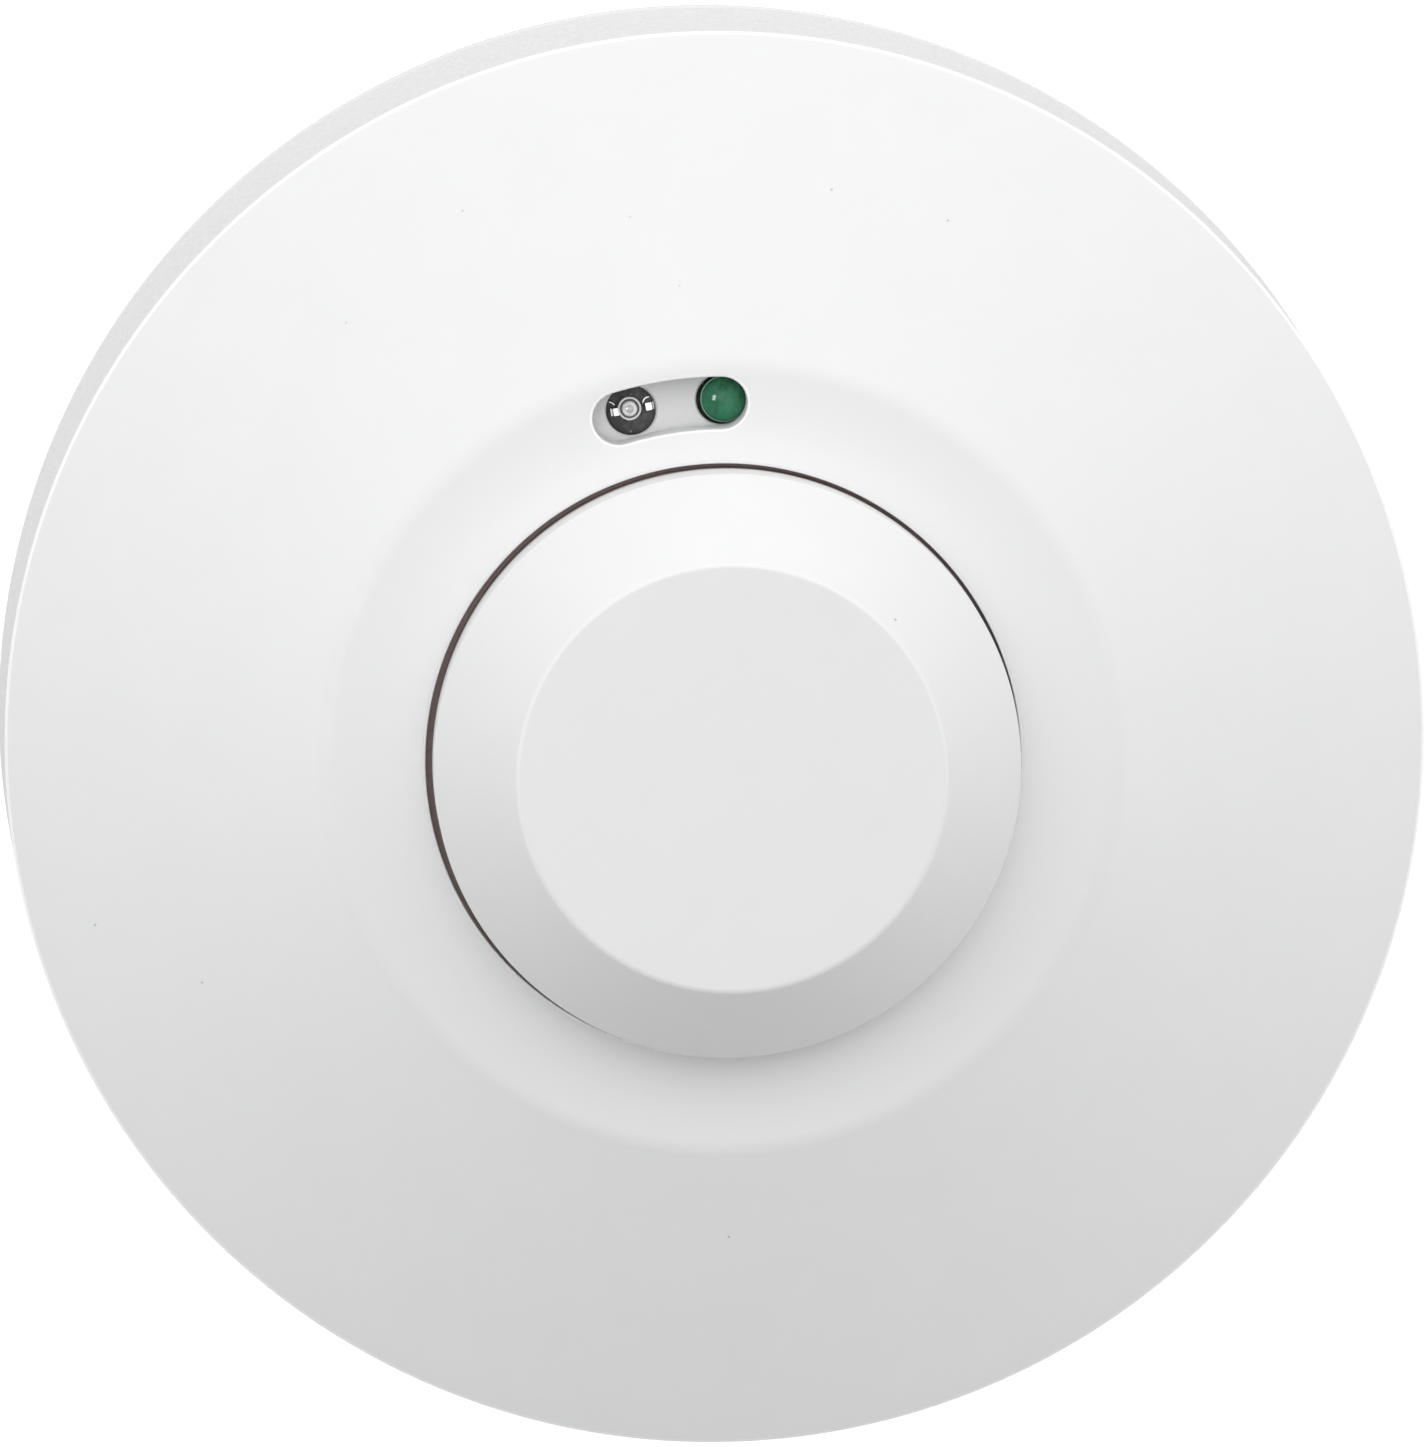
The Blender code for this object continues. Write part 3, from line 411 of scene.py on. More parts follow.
def specks(tree, cell, size, share):
    """1 on small dust specks and 0 elsewhere: at most one speck in a cell, and only in a share of them."""
    cells = tree.nodes.new("ShaderNodeTexVoronoi")
    cells.inputs["Scale"].default_value = 1.0 / cell
    tree.links.new(object_space(tree), cells.inputs["Vector"])
    reach = size / cell
    near = remap(tree, cells.outputs["Distance"], 1.0, 0.0, from_low=reach / 2, from_high=reach)
    lot = tree.nodes.new("ShaderNodeSeparateColor")
    tree.links.new(cells.outputs["Color"], lot.inputs["Color"])
    chosen = math_node(tree, "LESS_THAN", lot.outputs["Red"], share)
    faintest = 0.35
    weight = remap(tree, lot.outputs["Green"], faintest, 1.0, from_low=0.0, from_high=1.0)
    return math_node(tree, "MULTIPLY", math_node(tree, "MULTIPLY", near, chosen), weight)


def finish_shader(tree, shader, tone, roughness, bumps):
    """Gives a shader its colour and roughness sockets and its bumps, each (socket, depth in metres)."""
    tree.links.new(tone, shader.inputs["Base Color"])
    tree.links.new(roughness, shader.inputs["Roughness"])
    previous = None
    for height, depth in bumps:
        node = tree.nodes.new("ShaderNodeBump")
        node.inputs["Strength"].default_value = 1.0
        node.inputs["Distance"].default_value = depth
        tree.links.new(height, node.inputs["Height"])
        if previous is not None:
            tree.links.new(previous, node.inputs["Normal"])
        previous = node.outputs["Normal"]
    tree.links.new(previous, shader.inputs["Normal"])


def white_plastic(name, colour, grain, dusty=True, zone=None, edges=None, ledge=None):
    """Moulded white plastic: a fine spark-eroded grain, faint mottling, and a few specks of dust.

    Grain is the depth of its bumps. A zone is (low, high, colour, grain): below its heights the plastic is
    fully rough, with that colour and grain; the zones' darker colours are painted shade. Edges is the
    colour
    painted on the marked corners, a painted highlight or a painted shadow. Ledge is (inner, outer, shade):
    nearer the axis than those distances the plastic is darker by the shade, a painted shade from the cap.
    """
    material, tree, shader = new_material(name)
    mottling = remap(tree, noise(tree, 160.0, detail=4.0, roughness=0.6))
    tone = blend_colours(tree, mottling, scaled(colour, 0.985), colour)
    if ledge is not None:
        inner, outer, shade = ledge
        beyond = remap(tree, flat_distance(tree), from_low=inner, from_high=outer)
        tone = blend_colours(tree, beyond, scaled(colour, shade), tone)
    fine = noise(tree, 3800.0, roughness=0.6)
    coarse = noise(tree, 700.0)
    rough = remap(tree, noise(tree, 900.0), 0.44, 0.56)
    bumps = [(coarse, grain * 2.0), (fine, grain)]
    if zone is not None:
        low, high, zone_colour, zone_grain = zone
        above = height_mask(tree, low, high)
        below = math_node(tree, "SUBTRACT", 1.0, above)
        pits = noise(tree, 2300.0, detail=3.0, roughness=0.7, stretch=(1.0, 1.0, 0.6))
        zone_tone = blend_colours(tree, remap(tree, pits), scaled(zone_colour, 0.86), zone_colour)
        tone = blend_colours(tree, above, zone_tone, tone)
        rough = math_node(tree, "SUBTRACT", 1.0, math_node(tree, "MULTIPLY", above, rough))
        bumps.append((math_node(tree, "MULTIPLY", pits, below), zone_grain))
    if dusty:
        dust = specks(tree, cell=4.4 * MM, size=0.15 * MM, share=0.3)
        tone = blend_colours(tree, dust, tone, DUST)
    if edges is not None:
        tone = blend_edges(tree, tone, edges)
    shader.inputs["Specular IOR Level"].default_value = 0.2
    finish_shader(tree, shader, tone, rough, bumps)
    return material


def board_mask():
    """Black solder mask over laminate, with a faint weave and pale specks."""
    material, tree, shader = new_material("black_solder_mask")
    weave = noise(tree, 2400.0, detail=3.0, roughness=0.7, stretch=(1.0, 0.5, 1.0))
    tone = blend_colours(tree, remap(tree, weave), (0.005, 0.005, 0.006), (0.062, 0.062, 0.064))
    dust = specks(tree, cell=0.5 * MM, size=0.12 * MM, share=0.3)
    tone = blend_colours(tree, dust, tone, grey(0.34))
    rough = remap(tree, noise(tree, 1500.0), 0.35, 0.6)
    finish_shader(tree, shader, tone, rough, [(weave, 0.010 * MM)])
    return material


def moulded_epoxy(name, colour, roughness=(0.45, 0.65)):
    """A component's moulded case, faintly mottled. Roughness is its lowest and highest."""
    material, tree, shader = new_material(name)
    mottling = remap(tree, noise(tree, 1200.0, detail=4.0))
    tone = blend_colours(tree, mottling, colour, scaled(colour, 1.7))
    rough = remap(tree, noise(tree, 800.0), *roughness)
    finish_shader(tree, shader, tone, rough, [(noise(tree, 5200.0), 0.006 * MM)])
    return material


def metal(name, colour, roughness):
    """Bright metal, faintly tarnished and not quite smooth. Roughness is its lowest and highest."""
    material, tree, shader = new_material(name)
    shader.inputs["Metallic"].default_value = 1.0
    tarnish = remap(tree, noise(tree, 420.0, detail=4.0))
    tone = blend_colours(tree, tarnish, scaled(colour, 0.72), colour)
    rough = remap(tree, noise(tree, 1600.0, detail=3.0), *roughness)
    finish_shader(tree, shader, tone, rough, [(noise(tree, 3000.0), 0.004 * MM)])
    return material


def tinted_lens(name, deep, bright, rim, roughness=(0.16, 0.28)):
    """Diffused, tinted epoxy: cloudy and faintly streaked, paler at its rim as a painted highlight, with a
    smooth skin.
    """
    material, tree, shader = new_material(name)
    cloud = remap(tree, noise(tree, 620.0, detail=3.0, roughness=0.6))
    tone = blend_colours(tree, cloud, deep, bright)
    streaks = noise(tree, 1500.0, stretch=(1.0, 0.25, 1.0))
    streaks = remap(tree, streaks, 0.0, 0.55, from_low=0.55, from_high=0.75)
    tone = blend_colours(tree, streaks, tone, scaled(deep, 0.45))
    # Painted highlight: the marked rim takes the paler rim colour.
    tone = blend_edges(tree, tone, rim)
    shader.inputs["Specular IOR Level"].default_value = 0.0
    shader.inputs["Coat Weight"].default_value = 0.25
    shader.inputs["Coat Roughness"].default_value = 0.05
    rough = remap(tree, noise(tree, 1400.0), *roughness)
    finish_shader(tree, shader, tone, rough, [(noise(tree, 900.0), 0.008 * MM)])
    return material


def ringed_epoxy(name, centre):
    """Clear epoxy over a bright reflector cup, seen as pale and dark rings round the chip, with a faint
    painted glow.
    """
    material, tree, shader = new_material(name)
    distance = flat_distance(tree, centre)
    softness = 0.04 * MM
    tone = (0.70, 0.66, 0.65)
    # Each ring: the distance from the middle that it starts at, and its colour.
    rings = (
        (0.09 * MM, grey(0.30)),
        (0.17 * MM, grey(0.52)),
        (0.25 * MM, grey(0.36)),
        (0.34 * MM, (0.92, 0.92, 0.91)),
        (0.60 * MM, grey(0.30)),
    )
    for start, colour in rings:
        beyond = remap(tree, distance, from_low=start - softness, from_high=start + softness)
        tone = blend_colours(tree, beyond, tone, colour)
    smear = remap(tree, noise(tree, 2600.0), 0.0, 0.25)
    tone = blend_colours(tree, smear, tone, grey(0.12))
    # Painted glow: the rings' colours also glow faintly, which brightens the lens as painted light rather
    # than a lamp.
    tree.links.new(tone, shader.inputs["Emission Color"])
    shader.inputs["Emission Strength"].default_value = 0.22
    shader.inputs["Coat Weight"].default_value = 0.8
    shader.inputs["Coat Roughness"].default_value = 0.05
    rough = remap(tree, noise(tree, 2200.0), 0.08, 0.2)
    finish_shader(tree, shader, tone, rough, [(noise(tree, 1500.0, detail=1.0), 0.004 * MM)])
    return material


def glass_bead():
    """Cloudy brown glass over a thermistor's bead."""
    material, tree, shader = new_material("glass_coated_bead")
    cloud = remap(tree, noise(tree, 900.0, detail=3.0))
    tone = blend_colours(tree, cloud, (0.03, 0.015, 0.01), (0.09, 0.05, 0.03))
    rough = remap(tree, noise(tree, 1500.0), 0.18, 0.35)
    finish_shader(tree, shader, tone, rough, [(noise(tree, 1800.0), 0.01 * MM)])
    return material


DUST = (0.42, 0.41, 0.40)
FRONT_WHITE = grey(0.83)
# Painted highlight on the cover's rim edge, hole edge and window lip.
FRONT_EDGE_HIGHLIGHT = grey(0.96)
CAP_WHITE = grey(0.81)
# Painted highlight on the edge of the cap's face and on its shoulder.
CAP_EDGE_HIGHLIGHT = grey(0.845)
SHIELD_WHITE = grey(0.72)
COLLAR_WHITE = grey(0.97)
BASE_WHITE = (0.74, 0.74, 0.735)
# Painted shadow: a darker grey low on the base's outer wall, where it meets the ground.
BASE_FOOT_SHADOW = grey(0.42)
CHASSIS_WHITE = (0.76, 0.76, 0.75)
GREEN_DEEP = (0.028, 0.145, 0.075)
GREEN_BRIGHT = (0.062, 0.245, 0.135)
GREEN_RIM_HIGHLIGHT = (0.30, 0.48, 0.38)
PACKAGE_BLACK = (0.022, 0.022, 0.023)
RELAY_BLUE = (0.04, 0.13, 0.36)
SLEEVE_BLUE = (0.02, 0.035, 0.09)
CUP_GREY = grey(0.09)
TIN = (0.74, 0.74, 0.73)
BRASS = (0.80, 0.62, 0.30)
STEEL = (0.66, 0.66, 0.67)

# Zones of the white plastics: the two heights that each fades between, its colour and its grain. They are
# the cover's rough side wall, whose darker grey is partly painted shade; the cap's wall down in its gap,
# with a painted shadow in warm dark brown; and the walls of the shield's holes, darkened as a painted
# shadow.
SIDE_WALL_ZONE = (RIM_HEIGHT - 0.5 * MM, RIM_HEIGHT - 0.2 * MM, grey(0.74), 0.02 * MM)
GAP_SHADOW_ZONE = (37.1 * MM, 37.6 * MM, (0.48, 0.39, 0.37), 0.01 * MM)
HOLE_WALL_SHADOW_ZONE = (SHIELD_HIGH.z - 0.42 * MM, SHIELD_HIGH.z - 0.30 * MM, grey(0.05), 0.002 * MM)
# The distances from the axis that the ledge's painted shade fades between, and the shade.
LEDGE_SHADE = (32.0 * MM, 33.5 * MM, 0.945)


def make_front_white():
    return white_plastic(
        "front_white",
        FRONT_WHITE,
        0.003 * MM,
        zone=SIDE_WALL_ZONE,
        edges=FRONT_EDGE_HIGHLIGHT,
        ledge=LEDGE_SHADE,
    )


def make_materials():
    """Every finished material, by the name that the pieces ask for."""
    return {
        "front": make_front_white(),
        "cap": white_plastic("cap_white", CAP_WHITE, 0.003 * MM, zone=GAP_SHADOW_ZONE, edges=CAP_EDGE_HIGHLIGHT),
        "shield": white_plastic("shield_white", SHIELD_WHITE, 0.004 * MM, dusty=False, zone=HOLE_WALL_SHADOW_ZONE),
        "base": white_plastic("base_white", BASE_WHITE, 0.008 * MM, edges=BASE_FOOT_SHADOW),
        "chassis": white_plastic("chassis_white", CHASSIS_WHITE, 0.006 * MM, dusty=False),
        "collar": white_plastic("collar_epoxy", COLLAR_WHITE, 0.002 * MM, dusty=False),
        "green_lens": tinted_lens("green_lens", GREEN_DEEP, GREEN_BRIGHT, GREEN_RIM_HIGHLIGHT),
        "clear_lens": ringed_epoxy("clear_epoxy", polar(*ALARM_LED_PLACE)),
        "cup": moulded_epoxy("cup_grey", CUP_GREY),
        "package": moulded_epoxy("moulded_epoxy", PACKAGE_BLACK),
        "relay": moulded_epoxy("relay_case", RELAY_BLUE, roughness=(0.25, 0.4)),
        "sleeve": moulded_epoxy("capacitor_sleeve", SLEEVE_BLUE, roughness=(0.22, 0.36)),
        "board": board_mask(),
        "bead": glass_bead(),
        "tin": metal("tinned_lead", TIN, roughness=(0.35, 0.5)),
        "brass": metal("contact_brass", BRASS, roughness=(0.22, 0.4)),
        "steel": metal("zinc_plated_steel", STEEL, roughness=(0.22, 0.4)),
    }


# ---------------------------------------------------------------- the white front
def cover_outline():
    """Up the skirt, over the rim, up the slope, across the ledge to the cap's hole, then back inside."""
    foot = COVER_LOW.z
    drop = WALL * 1.1
    rounding = 0.2 * MM
    slope = [(r * MM, slope_height(r * MM)) for r in (56.0, 52.0, 48.0, 44.0, 40.0, 37.0)]
    ledge = [(r * MM, ledge_height(r * MM)) for r in (29.5, 28.5, 27.5, 26.5, 25.5)]
    inner_radii = (RIDGE_RADIUS - 0.6 * MM, 45.0 * MM, RIM_RADIUS - WALL)
    inner = [(r, slope_height(r) - drop) for r in inner_radii]
    return round_corners(
        [
            (SKIRT_RADIUS - WALL, foot, rounding),
            (SKIRT_RADIUS, foot, 0.3 * MM),
            (RIM_RADIUS, RIM_HEIGHT, RIM_ROUNDING),
            *slope,
            (RIDGE_RADIUS, RIDGE_HEIGHT, RIDGE_ROUNDING),
            *ledge,
            (HOLE_RADIUS, HOLE_HEIGHT, HOLE_ROUNDING),
            (HOLE_RADIUS, HOLE_HEIGHT - WALL, rounding),
            *inner,
        ],
        steps=10,
    )


def window_cutter():
    """The window's slot with a flared mouth, which leaves a rounded lip in the ledge."""
    depth_below_ledge = 6.0 * MM
    lip_arc = 68.0
    lip_steps = 5
    flare = 0.35 * MM
    levels = [(0.0, depth_below_ledge), (0.0, WINDOW_ROUNDING)]
    for step in range(1, lip_steps + 1):
        turn = math.radians(lip_arc * step / lip_steps)
        levels.append((WINDOW_ROUNDING * (1 - math.cos(turn)), WINDOW_ROUNDING * (1 - math.sin(turn))))
    out, down = levels[-1]
    levels.append((out + flare * math.sin(turn), down - flare * math.cos(turn)))
    rings = []
    for out, down in levels:
        outline = arc_slot(WINDOW_RADIUS, WINDOW_HALF_WIDTH + out, *WINDOW_ANGLES)
        rings.append([(*p, ledge_height(p.length) - down) for p in outline])
    return stacked("window_cutter", rings)


def on_cover_edge(centre, normal):
    """Whether a face of the cover is on the rim's edge, the hole's edge or the window's lip."""
    rim_edge_drop = 0.1 * MM
    rim_edge_reach = 0.2 * MM
    window_reach = 9.0 * MM
    radius = centre.xy.length
    if radius > RIM_RADIUS - RIM_ROUNDING:
        return abs(centre.z - RIM_HEIGHT + rim_edge_drop) < rim_edge_reach
    if not 0.25 < normal.z < 0.95:
        return False
    on_hole = radius < HOLE_RADIUS + HOLE_ROUNDING and centre.z > HOLE_HEIGHT - HOLE_ROUNDING
    in_band = abs(radius - WINDOW_RADIUS) < WINDOW_HALF_WIDTH + 2 * WINDOW_ROUNDING
    window_middle = polar(WINDOW_RADIUS, sum(WINDOW_ANGLES) / 2)
    near_window = in_band and (centre.xy - window_middle).length < window_reach
    return on_hole or (near_window and centre.z > ledge_height(radius) - WINDOW_ROUNDING)


def make_front_cover(material):
    """The cover, with a collar under its window and the bosses that its screws go into."""
    mesh = turned("front_cover_moulding", cover_outline())
    collar_wall = 1.0 * MM
    collar_top = RIDGE_HEIGHT - 0.8 * MM
    collar = arc_slot(WINDOW_RADIUS, WINDOW_HALF_WIDTH + collar_wall, *WINDOW_ANGLES)
    mesh = shaped(mesh, "UNION", prism("collar", collar, SHIELD_HIGH.z + GAP, collar_top))
    mesh = shaped(mesh, "DIFFERENCE", window_cutter())
    bosses = []
    holes = []
    boss_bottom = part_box("chassis")[0].z + COVER_BOSS_RISE
    for angle in COVER_SCREW_ANGLES:
        boss = placed(circle(COVER_BOSS_RADIUS), COVER_SCREW_RADIUS, angle)
        low = [(*p, boss_bottom) for p in boss]
        high = [(*p, slope_height(p.length) - WALL / 2) for p in boss]
        bosses.append(stacked("boss", [low, high]))
        hole = placed(circle(COVER_SCREW_HOLE, steps=24), COVER_SCREW_RADIUS, angle)
        holes.append(prism("hole", hole, boss_bottom - WALL, boss_bottom + COVER_HOLE_DEPTH))
    mesh = shaped(mesh, "UNION", joined("bosses", bosses))
    mesh = shaped(mesh, "DIFFERENCE", joined("holes", holes))
    mark_edges(mesh, on_cover_edge)
    return show("front_cover_moulding", mesh, material, "head", "cover_plastic", "front_cover")


def cap_outline():
    """From the stem's foot round the spring's seat, under the face, down to the flange and up outside."""
    wall = 1.8 * MM
    inner = BUTTON_RADIUS - wall
    inner_top = FACE_HEIGHT - wall
    stem = 2.6 * MM
    stem_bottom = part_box("switch_plunger")[1].z + GAP
    seat = 6.4 * MM
    seat_bottom = 40.0 * MM
    seat_top = 41.2 * MM
    flange = BUTTON_HIGH.x
    flange_top = BUTTON_LOW.z + 1.1 * MM
    draft = 0.05 * MM
    # Roundings.
    small = 0.2 * MM
    medium = 0.3 * MM
    large = 0.8 * MM
    return round_corners(
        [
            (0.0, stem_bottom),
            (stem, stem_bottom, medium),
            (stem, seat_bottom, medium),
            (seat, seat_bottom, medium),
            (seat, seat_top, medium),
            (stem, seat_top, medium),
            (stem, inner_top, large),
            (FACE_RADIUS - 1.0 * MM, inner_top, large),
            (inner, SHOULDER_HEIGHT - 0.4 * MM, large),
            (inner, BUTTON_LOW.z),
            (flange, BUTTON_LOW.z, small),
            (flange, flange_top, small),
            (BUTTON_RADIUS + draft, flange_top),
            (BUTTON_RADIUS, SHOULDER_HEIGHT, SHOULDER_ROUNDING),
            (FACE_RADIUS, FACE_HEIGHT, FACE_ROUNDING),
            (0.0, FACE_HEIGHT),
        ],
        steps=8,
    )


def on_cap_edge(centre, normal):
    """Whether a face of the cap is on the edge of its face or on its shoulder."""
    at_face = abs(centre.z - FACE_HEIGHT) < FACE_ROUNDING and 0.80 < normal.z < 0.97
    at_shoulder = abs(centre.z - SHOULDER_HEIGHT) < SHOULDER_ROUNDING and 0.1 < normal.z < 0.6
    return (at_face or at_shoulder) and centre.xy.length > FACE_RADIUS - FACE_ROUNDING


def make_button(material):
    """The raised cap, a little to one side of its hole, as it is in the photo."""
    mesh = turned("test_button_cap", cap_outline())
    mark_edges(mesh, on_cap_edge)
    mesh.transform(Matrix.Translation((BUTTON_SIDE_PLAY, 0.0, 0.0)))
    return show("test_button_cap", mesh, material, "button", "cover_plastic", "test_button")


def make_return_spring(material):
    """A wire coil with flat ends; the real spring shortens as the cap is pressed, but this one is fixed in
    length.
    """
    low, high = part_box("return_spring")
    length = high.z - low.z
    wire = 0.4 * MM
    coil = 5.3 * MM
    turns = 5
    steps = 40
    sides = 12
    rings = []
    for step in range(turns * steps + 1):
        turn = step / steps
        climb = min(max((turn - 0.5) / (turns - 1), 0.0), 1.0)
        middle = low.z + wire + (length - 2 * wire) * climb
        ring = []
        for side in range(sides):
            out = polar(wire, 360.0 * side / sides)
            ring.append((*polar(coil + out.x, 360.0 * turn), middle + out.y))
        rings.append(ring)
    mesh = stacked("return_spring_coil", rings)
    piece = show("return_spring_coil", mesh, material, "head", "steel", "return_spring")
    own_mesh(piece)


def make_shield(material):
    """The pale plate seen in the window, with screw feet and a rounded hole for each indicator."""
    bottom, top = SHIELD_HIGH.z - 1.0 * MM, SHIELD_HIGH.z
    outer = SHIELD_HIGH.x
    inner = 26.6 * MM
    foot_radius = 2.4 * MM
    mesh = turned("indicator_shield", [(inner, bottom), (outer, bottom), (outer, top), (inner, top)])
    feet = []
    holes = []
    for angle in BOARD_SCREW_ANGLES:
        foot = placed(circle(foot_radius, steps=32), BOARD_SCREW_RADIUS, angle)
        feet.append(prism("foot", foot, BOARD_TOP + GAP, (bottom + top) / 2))
        hole = placed(circle(BOARD_SCREW_HOLE, steps=24), BOARD_SCREW_RADIUS, angle)
        holes.append(prism("hole", hole, BOARD_TOP, top + 1.0 * MM))
    mesh = shaped(mesh, "UNION", joined("feet", feet))
    mesh = shaped(mesh, "DIFFERENCE", joined("holes", holes))
    # Each level of a hole's cutter, in mm: how far out from the hole's wall, and how far above the plate.
    levels = ((0.0, -3.0), (0.0, -0.25), (0.03, -0.14), (0.11, -0.04), (0.5, 0.3))
    for radius, angle in HOLE_PLACES:
        rings = []
        for out, up in levels:
            outline = placed(circle(LED_HOLE_RADIUS + out * MM, steps=64), radius, angle)
            rings.append([(*p, top + up * MM) for p in outline])
        mesh = shaped(mesh, "DIFFERENCE", stacked("hole", rings))
    return show("indicator_shield", mesh, material, "head", "shield_plastic", "led_shield")


# ---------------------------------------------------------------- indicators
ALARM_LED_LOW = BOARD_TOP + 0.05 * MM
ALARM_COLLAR_RADIUS = 0.97 * MM
ALARM_BODY_RADIUS = 0.80 * MM
ALARM_LENS_RADIUS = 0.66 * MM
ALARM_COLLAR_HEIGHT = 0.75 * MM
ALARM_BODY_HEIGHT = 0.5 * MM
ALARM_LEADS_TURN = -5.0
ALARM_LEADS_SHIFT = (-0.11 * MM, -0.24 * MM)


def dome_outline(radius, straight, rise, steps=14):
    """Up a short wall and over a low dome to the axis."""
    points = [(0.0, 0.0), (radius, 0.0), (radius, straight)]
    for i in range(1, steps):
        angle = math.pi / 2 * i / steps
        points.append((radius * math.cos(angle), straight + rise * math.sin(angle)))
    points.append((0.0, straight + rise))
    return points


def put(mesh, place, height):
    """Moves a mesh made about the axis out to a place, which is (radius, angle), and up to a height."""
    turn = Matrix.Rotation(math.radians(place[1]), 4, "Z")
    mesh.transform(Matrix.Translation((*polar(*place), height)) @ turn)
    return mesh


def make_power_led(material):
    """A green lens: a low dome with a narrow rim round its foot."""
    low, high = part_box("power_led")
    radius = 1.91 * MM
    rim = 0.09 * MM
    rise = 0.9 * MM
    straight = high.z - low.z - rise
    rim_top = straight - rim
    dome = dome_outline(radius - rim, straight, rise)[3:]
    foot = [(0.0, 0.0), (radius, 0.0), (radius, rim_top, 0.04 * MM), (radius - rim, rim_top)]
    mesh = turned("power_led_lens", round_corners([*foot, (radius - rim, straight), *dome]), steps=96)
    rim_reach = 0.06 * MM

    def on_rim(centre, normal):
        near_top = centre.z > low.z + rim_top - rim_reach
        return near_top and centre.xy.length > radius - rim and normal.z > 0.2

    put(mesh, (0.0, 0.0), low.z)
    mark_edges(mesh, on_rim)
    put(mesh, POWER_LED_PLACE, 0.0)
    return show("power_led_lens", mesh, material, "head", "green_lens", "power_led")


def make_alarm_led(collar_material, body_material, lens_material):
    """A miniature clear indicator: a collar round a dark body with a domed lens on it."""
    collar_bottom = 0.1 * MM
    rounding = 0.07 * MM
    outline = round_corners(
        [
            (ALARM_BODY_RADIUS, collar_bottom),
            (ALARM_COLLAR_RADIUS, collar_bottom, 0.04 * MM),
            (ALARM_COLLAR_RADIUS, ALARM_COLLAR_HEIGHT, rounding),
            (ALARM_BODY_RADIUS, ALARM_COLLAR_HEIGHT, rounding),
        ],
        steps=5,
    )
    collar = put(turned("alarm_led_collar", outline, steps=64), ALARM_LED_PLACE, ALARM_LED_LOW)
    show("alarm_led_collar", collar, collar_material, "head", "clear_lens")

    side = [(ALARM_BODY_RADIUS, 0.0), (ALARM_BODY_RADIUS, ALARM_BODY_HEIGHT)]
    outline = round_corners([(0.0, 0.0), *side, (0.0, ALARM_BODY_HEIGHT)])
    body = put(turned("alarm_led_body", outline, steps=64), ALARM_LED_PLACE, ALARM_LED_LOW)
    show("alarm_led_body", body, body_material, "head", "clear_lens")

    outline = dome_outline(ALARM_LENS_RADIUS, straight=0.32 * MM, rise=0.42 * MM)
    lens = turned("alarm_led_dome", outline, steps=48)
    put(lens, ALARM_LED_PLACE, ALARM_LED_LOW + ALARM_BODY_HEIGHT)
    show("alarm_led_dome", lens, lens_material, "head", "clear_lens", "alarm_led_lens")


def lead_mesh(side):
    """A flat lead, from beside the body out and down onto its pad, along +Y or -Y as side is 1 or -1."""
    thickness = 0.16 * MM
    half_width = 0.31 * MM
    high = ALARM_LED_LOW + 0.45 * MM
    low = ALARM_LED_LOW + 0.05 * MM
    rows = []
    # Each row: its distance from the body's middle in mm, and its underside.
    for distance, bottom in ((1.10, high), (1.60, high), (1.68, low), (1.80, low)):
        y = side * (distance * MM)
        top = bottom + thickness
        section = ((-1, bottom), (1, bottom), (1, top), (-1, top))
        rows.append([(across * half_width, y, height) for across, height in section])
    bm = bmesh.new()
    bm.from_mesh(stacked("lead", rows))
    bmesh.ops.bevel(bm, geom=bm.edges, offset=0.03 * MM, segments=2, affect="EDGES")
    return finish_mesh(bm, "lead")


def make_alarm_leads(material):
    """The two leads, turned and shifted a little under the window, as they are in the photo."""
    mesh = joined("alarm_led_leads", [lead_mesh(side) for side in (-1.0, 1.0)])
    turn = Matrix.Rotation(math.radians(ALARM_LEADS_TURN), 4, "Z")
    mesh.transform(turn @ Matrix.Translation((*ALARM_LEADS_SHIFT, 0.0)))
    put(mesh, ALARM_LED_PLACE, 0.0)
    show("alarm_led_leads", mesh, material, "head", "tinned_metal", "alarm_led_frame")


def make_alarm_vias(material):
    """What shows of the leads' round pads: a thin bright arc beside each lead."""
    inner, outer = 0.46 * MM, 0.54 * MM
    thickness = 0.03 * MM
    pads = []
    # Each arc: its circle's middle across and along the leads, and the angles it goes between.
    for across, along, first, last in ((0.39, 1.62, -75.0, -15.0), (-0.03, -1.67, -15.0, 75.0)):
        outline = sector(inner, outer, first, last, 0.02 * MM, steps=10)
        pad = prism("pad", outline, BOARD_TOP, BOARD_TOP + thickness)
        pad.transform(Matrix.Translation((across * MM, along * MM, 0.0)))
        pads.append(pad)
    mesh = put(joined("alarm_led_vias", pads), ALARM_LED_PLACE, 0.0)
    show("alarm_led_vias", mesh, material, "head", "tinned_metal")


# ---------------------------------------------------------------- base
BASE_THICKNESS = 2.4 * MM
CABLE_HOLE_RADIUS = 14.0 * MM
LOCK_RING_OUTER = 46.0 * MM
LOCK_RING_INNER = 44.0 * MM
LOCK_RING_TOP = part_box("mounting_base")[1].z
FIXING_SLOT_MIDDLE = 31.0 * MM
FIXING_SLOT_HALF_LENGTH = 6.0 * MM
FIXING_SLOT_HALF_WIDTH = 2.4 * MM
FIXING_SLOT_ANGLES = (0.0, 90.0, 180.0, 270.0)
TERMINAL_ANGLES = (45.0, 135.0, 225.0, 315.0)
TERMINAL_RADIUS = 25.0 * MM
TERMINAL_PAD_TOP = 4.1 * MM
TERMINAL_PAD_HALF_LENGTH = 5.0 * MM
TERMINAL_PAD_HALF_WIDTH = 4.5 * MM
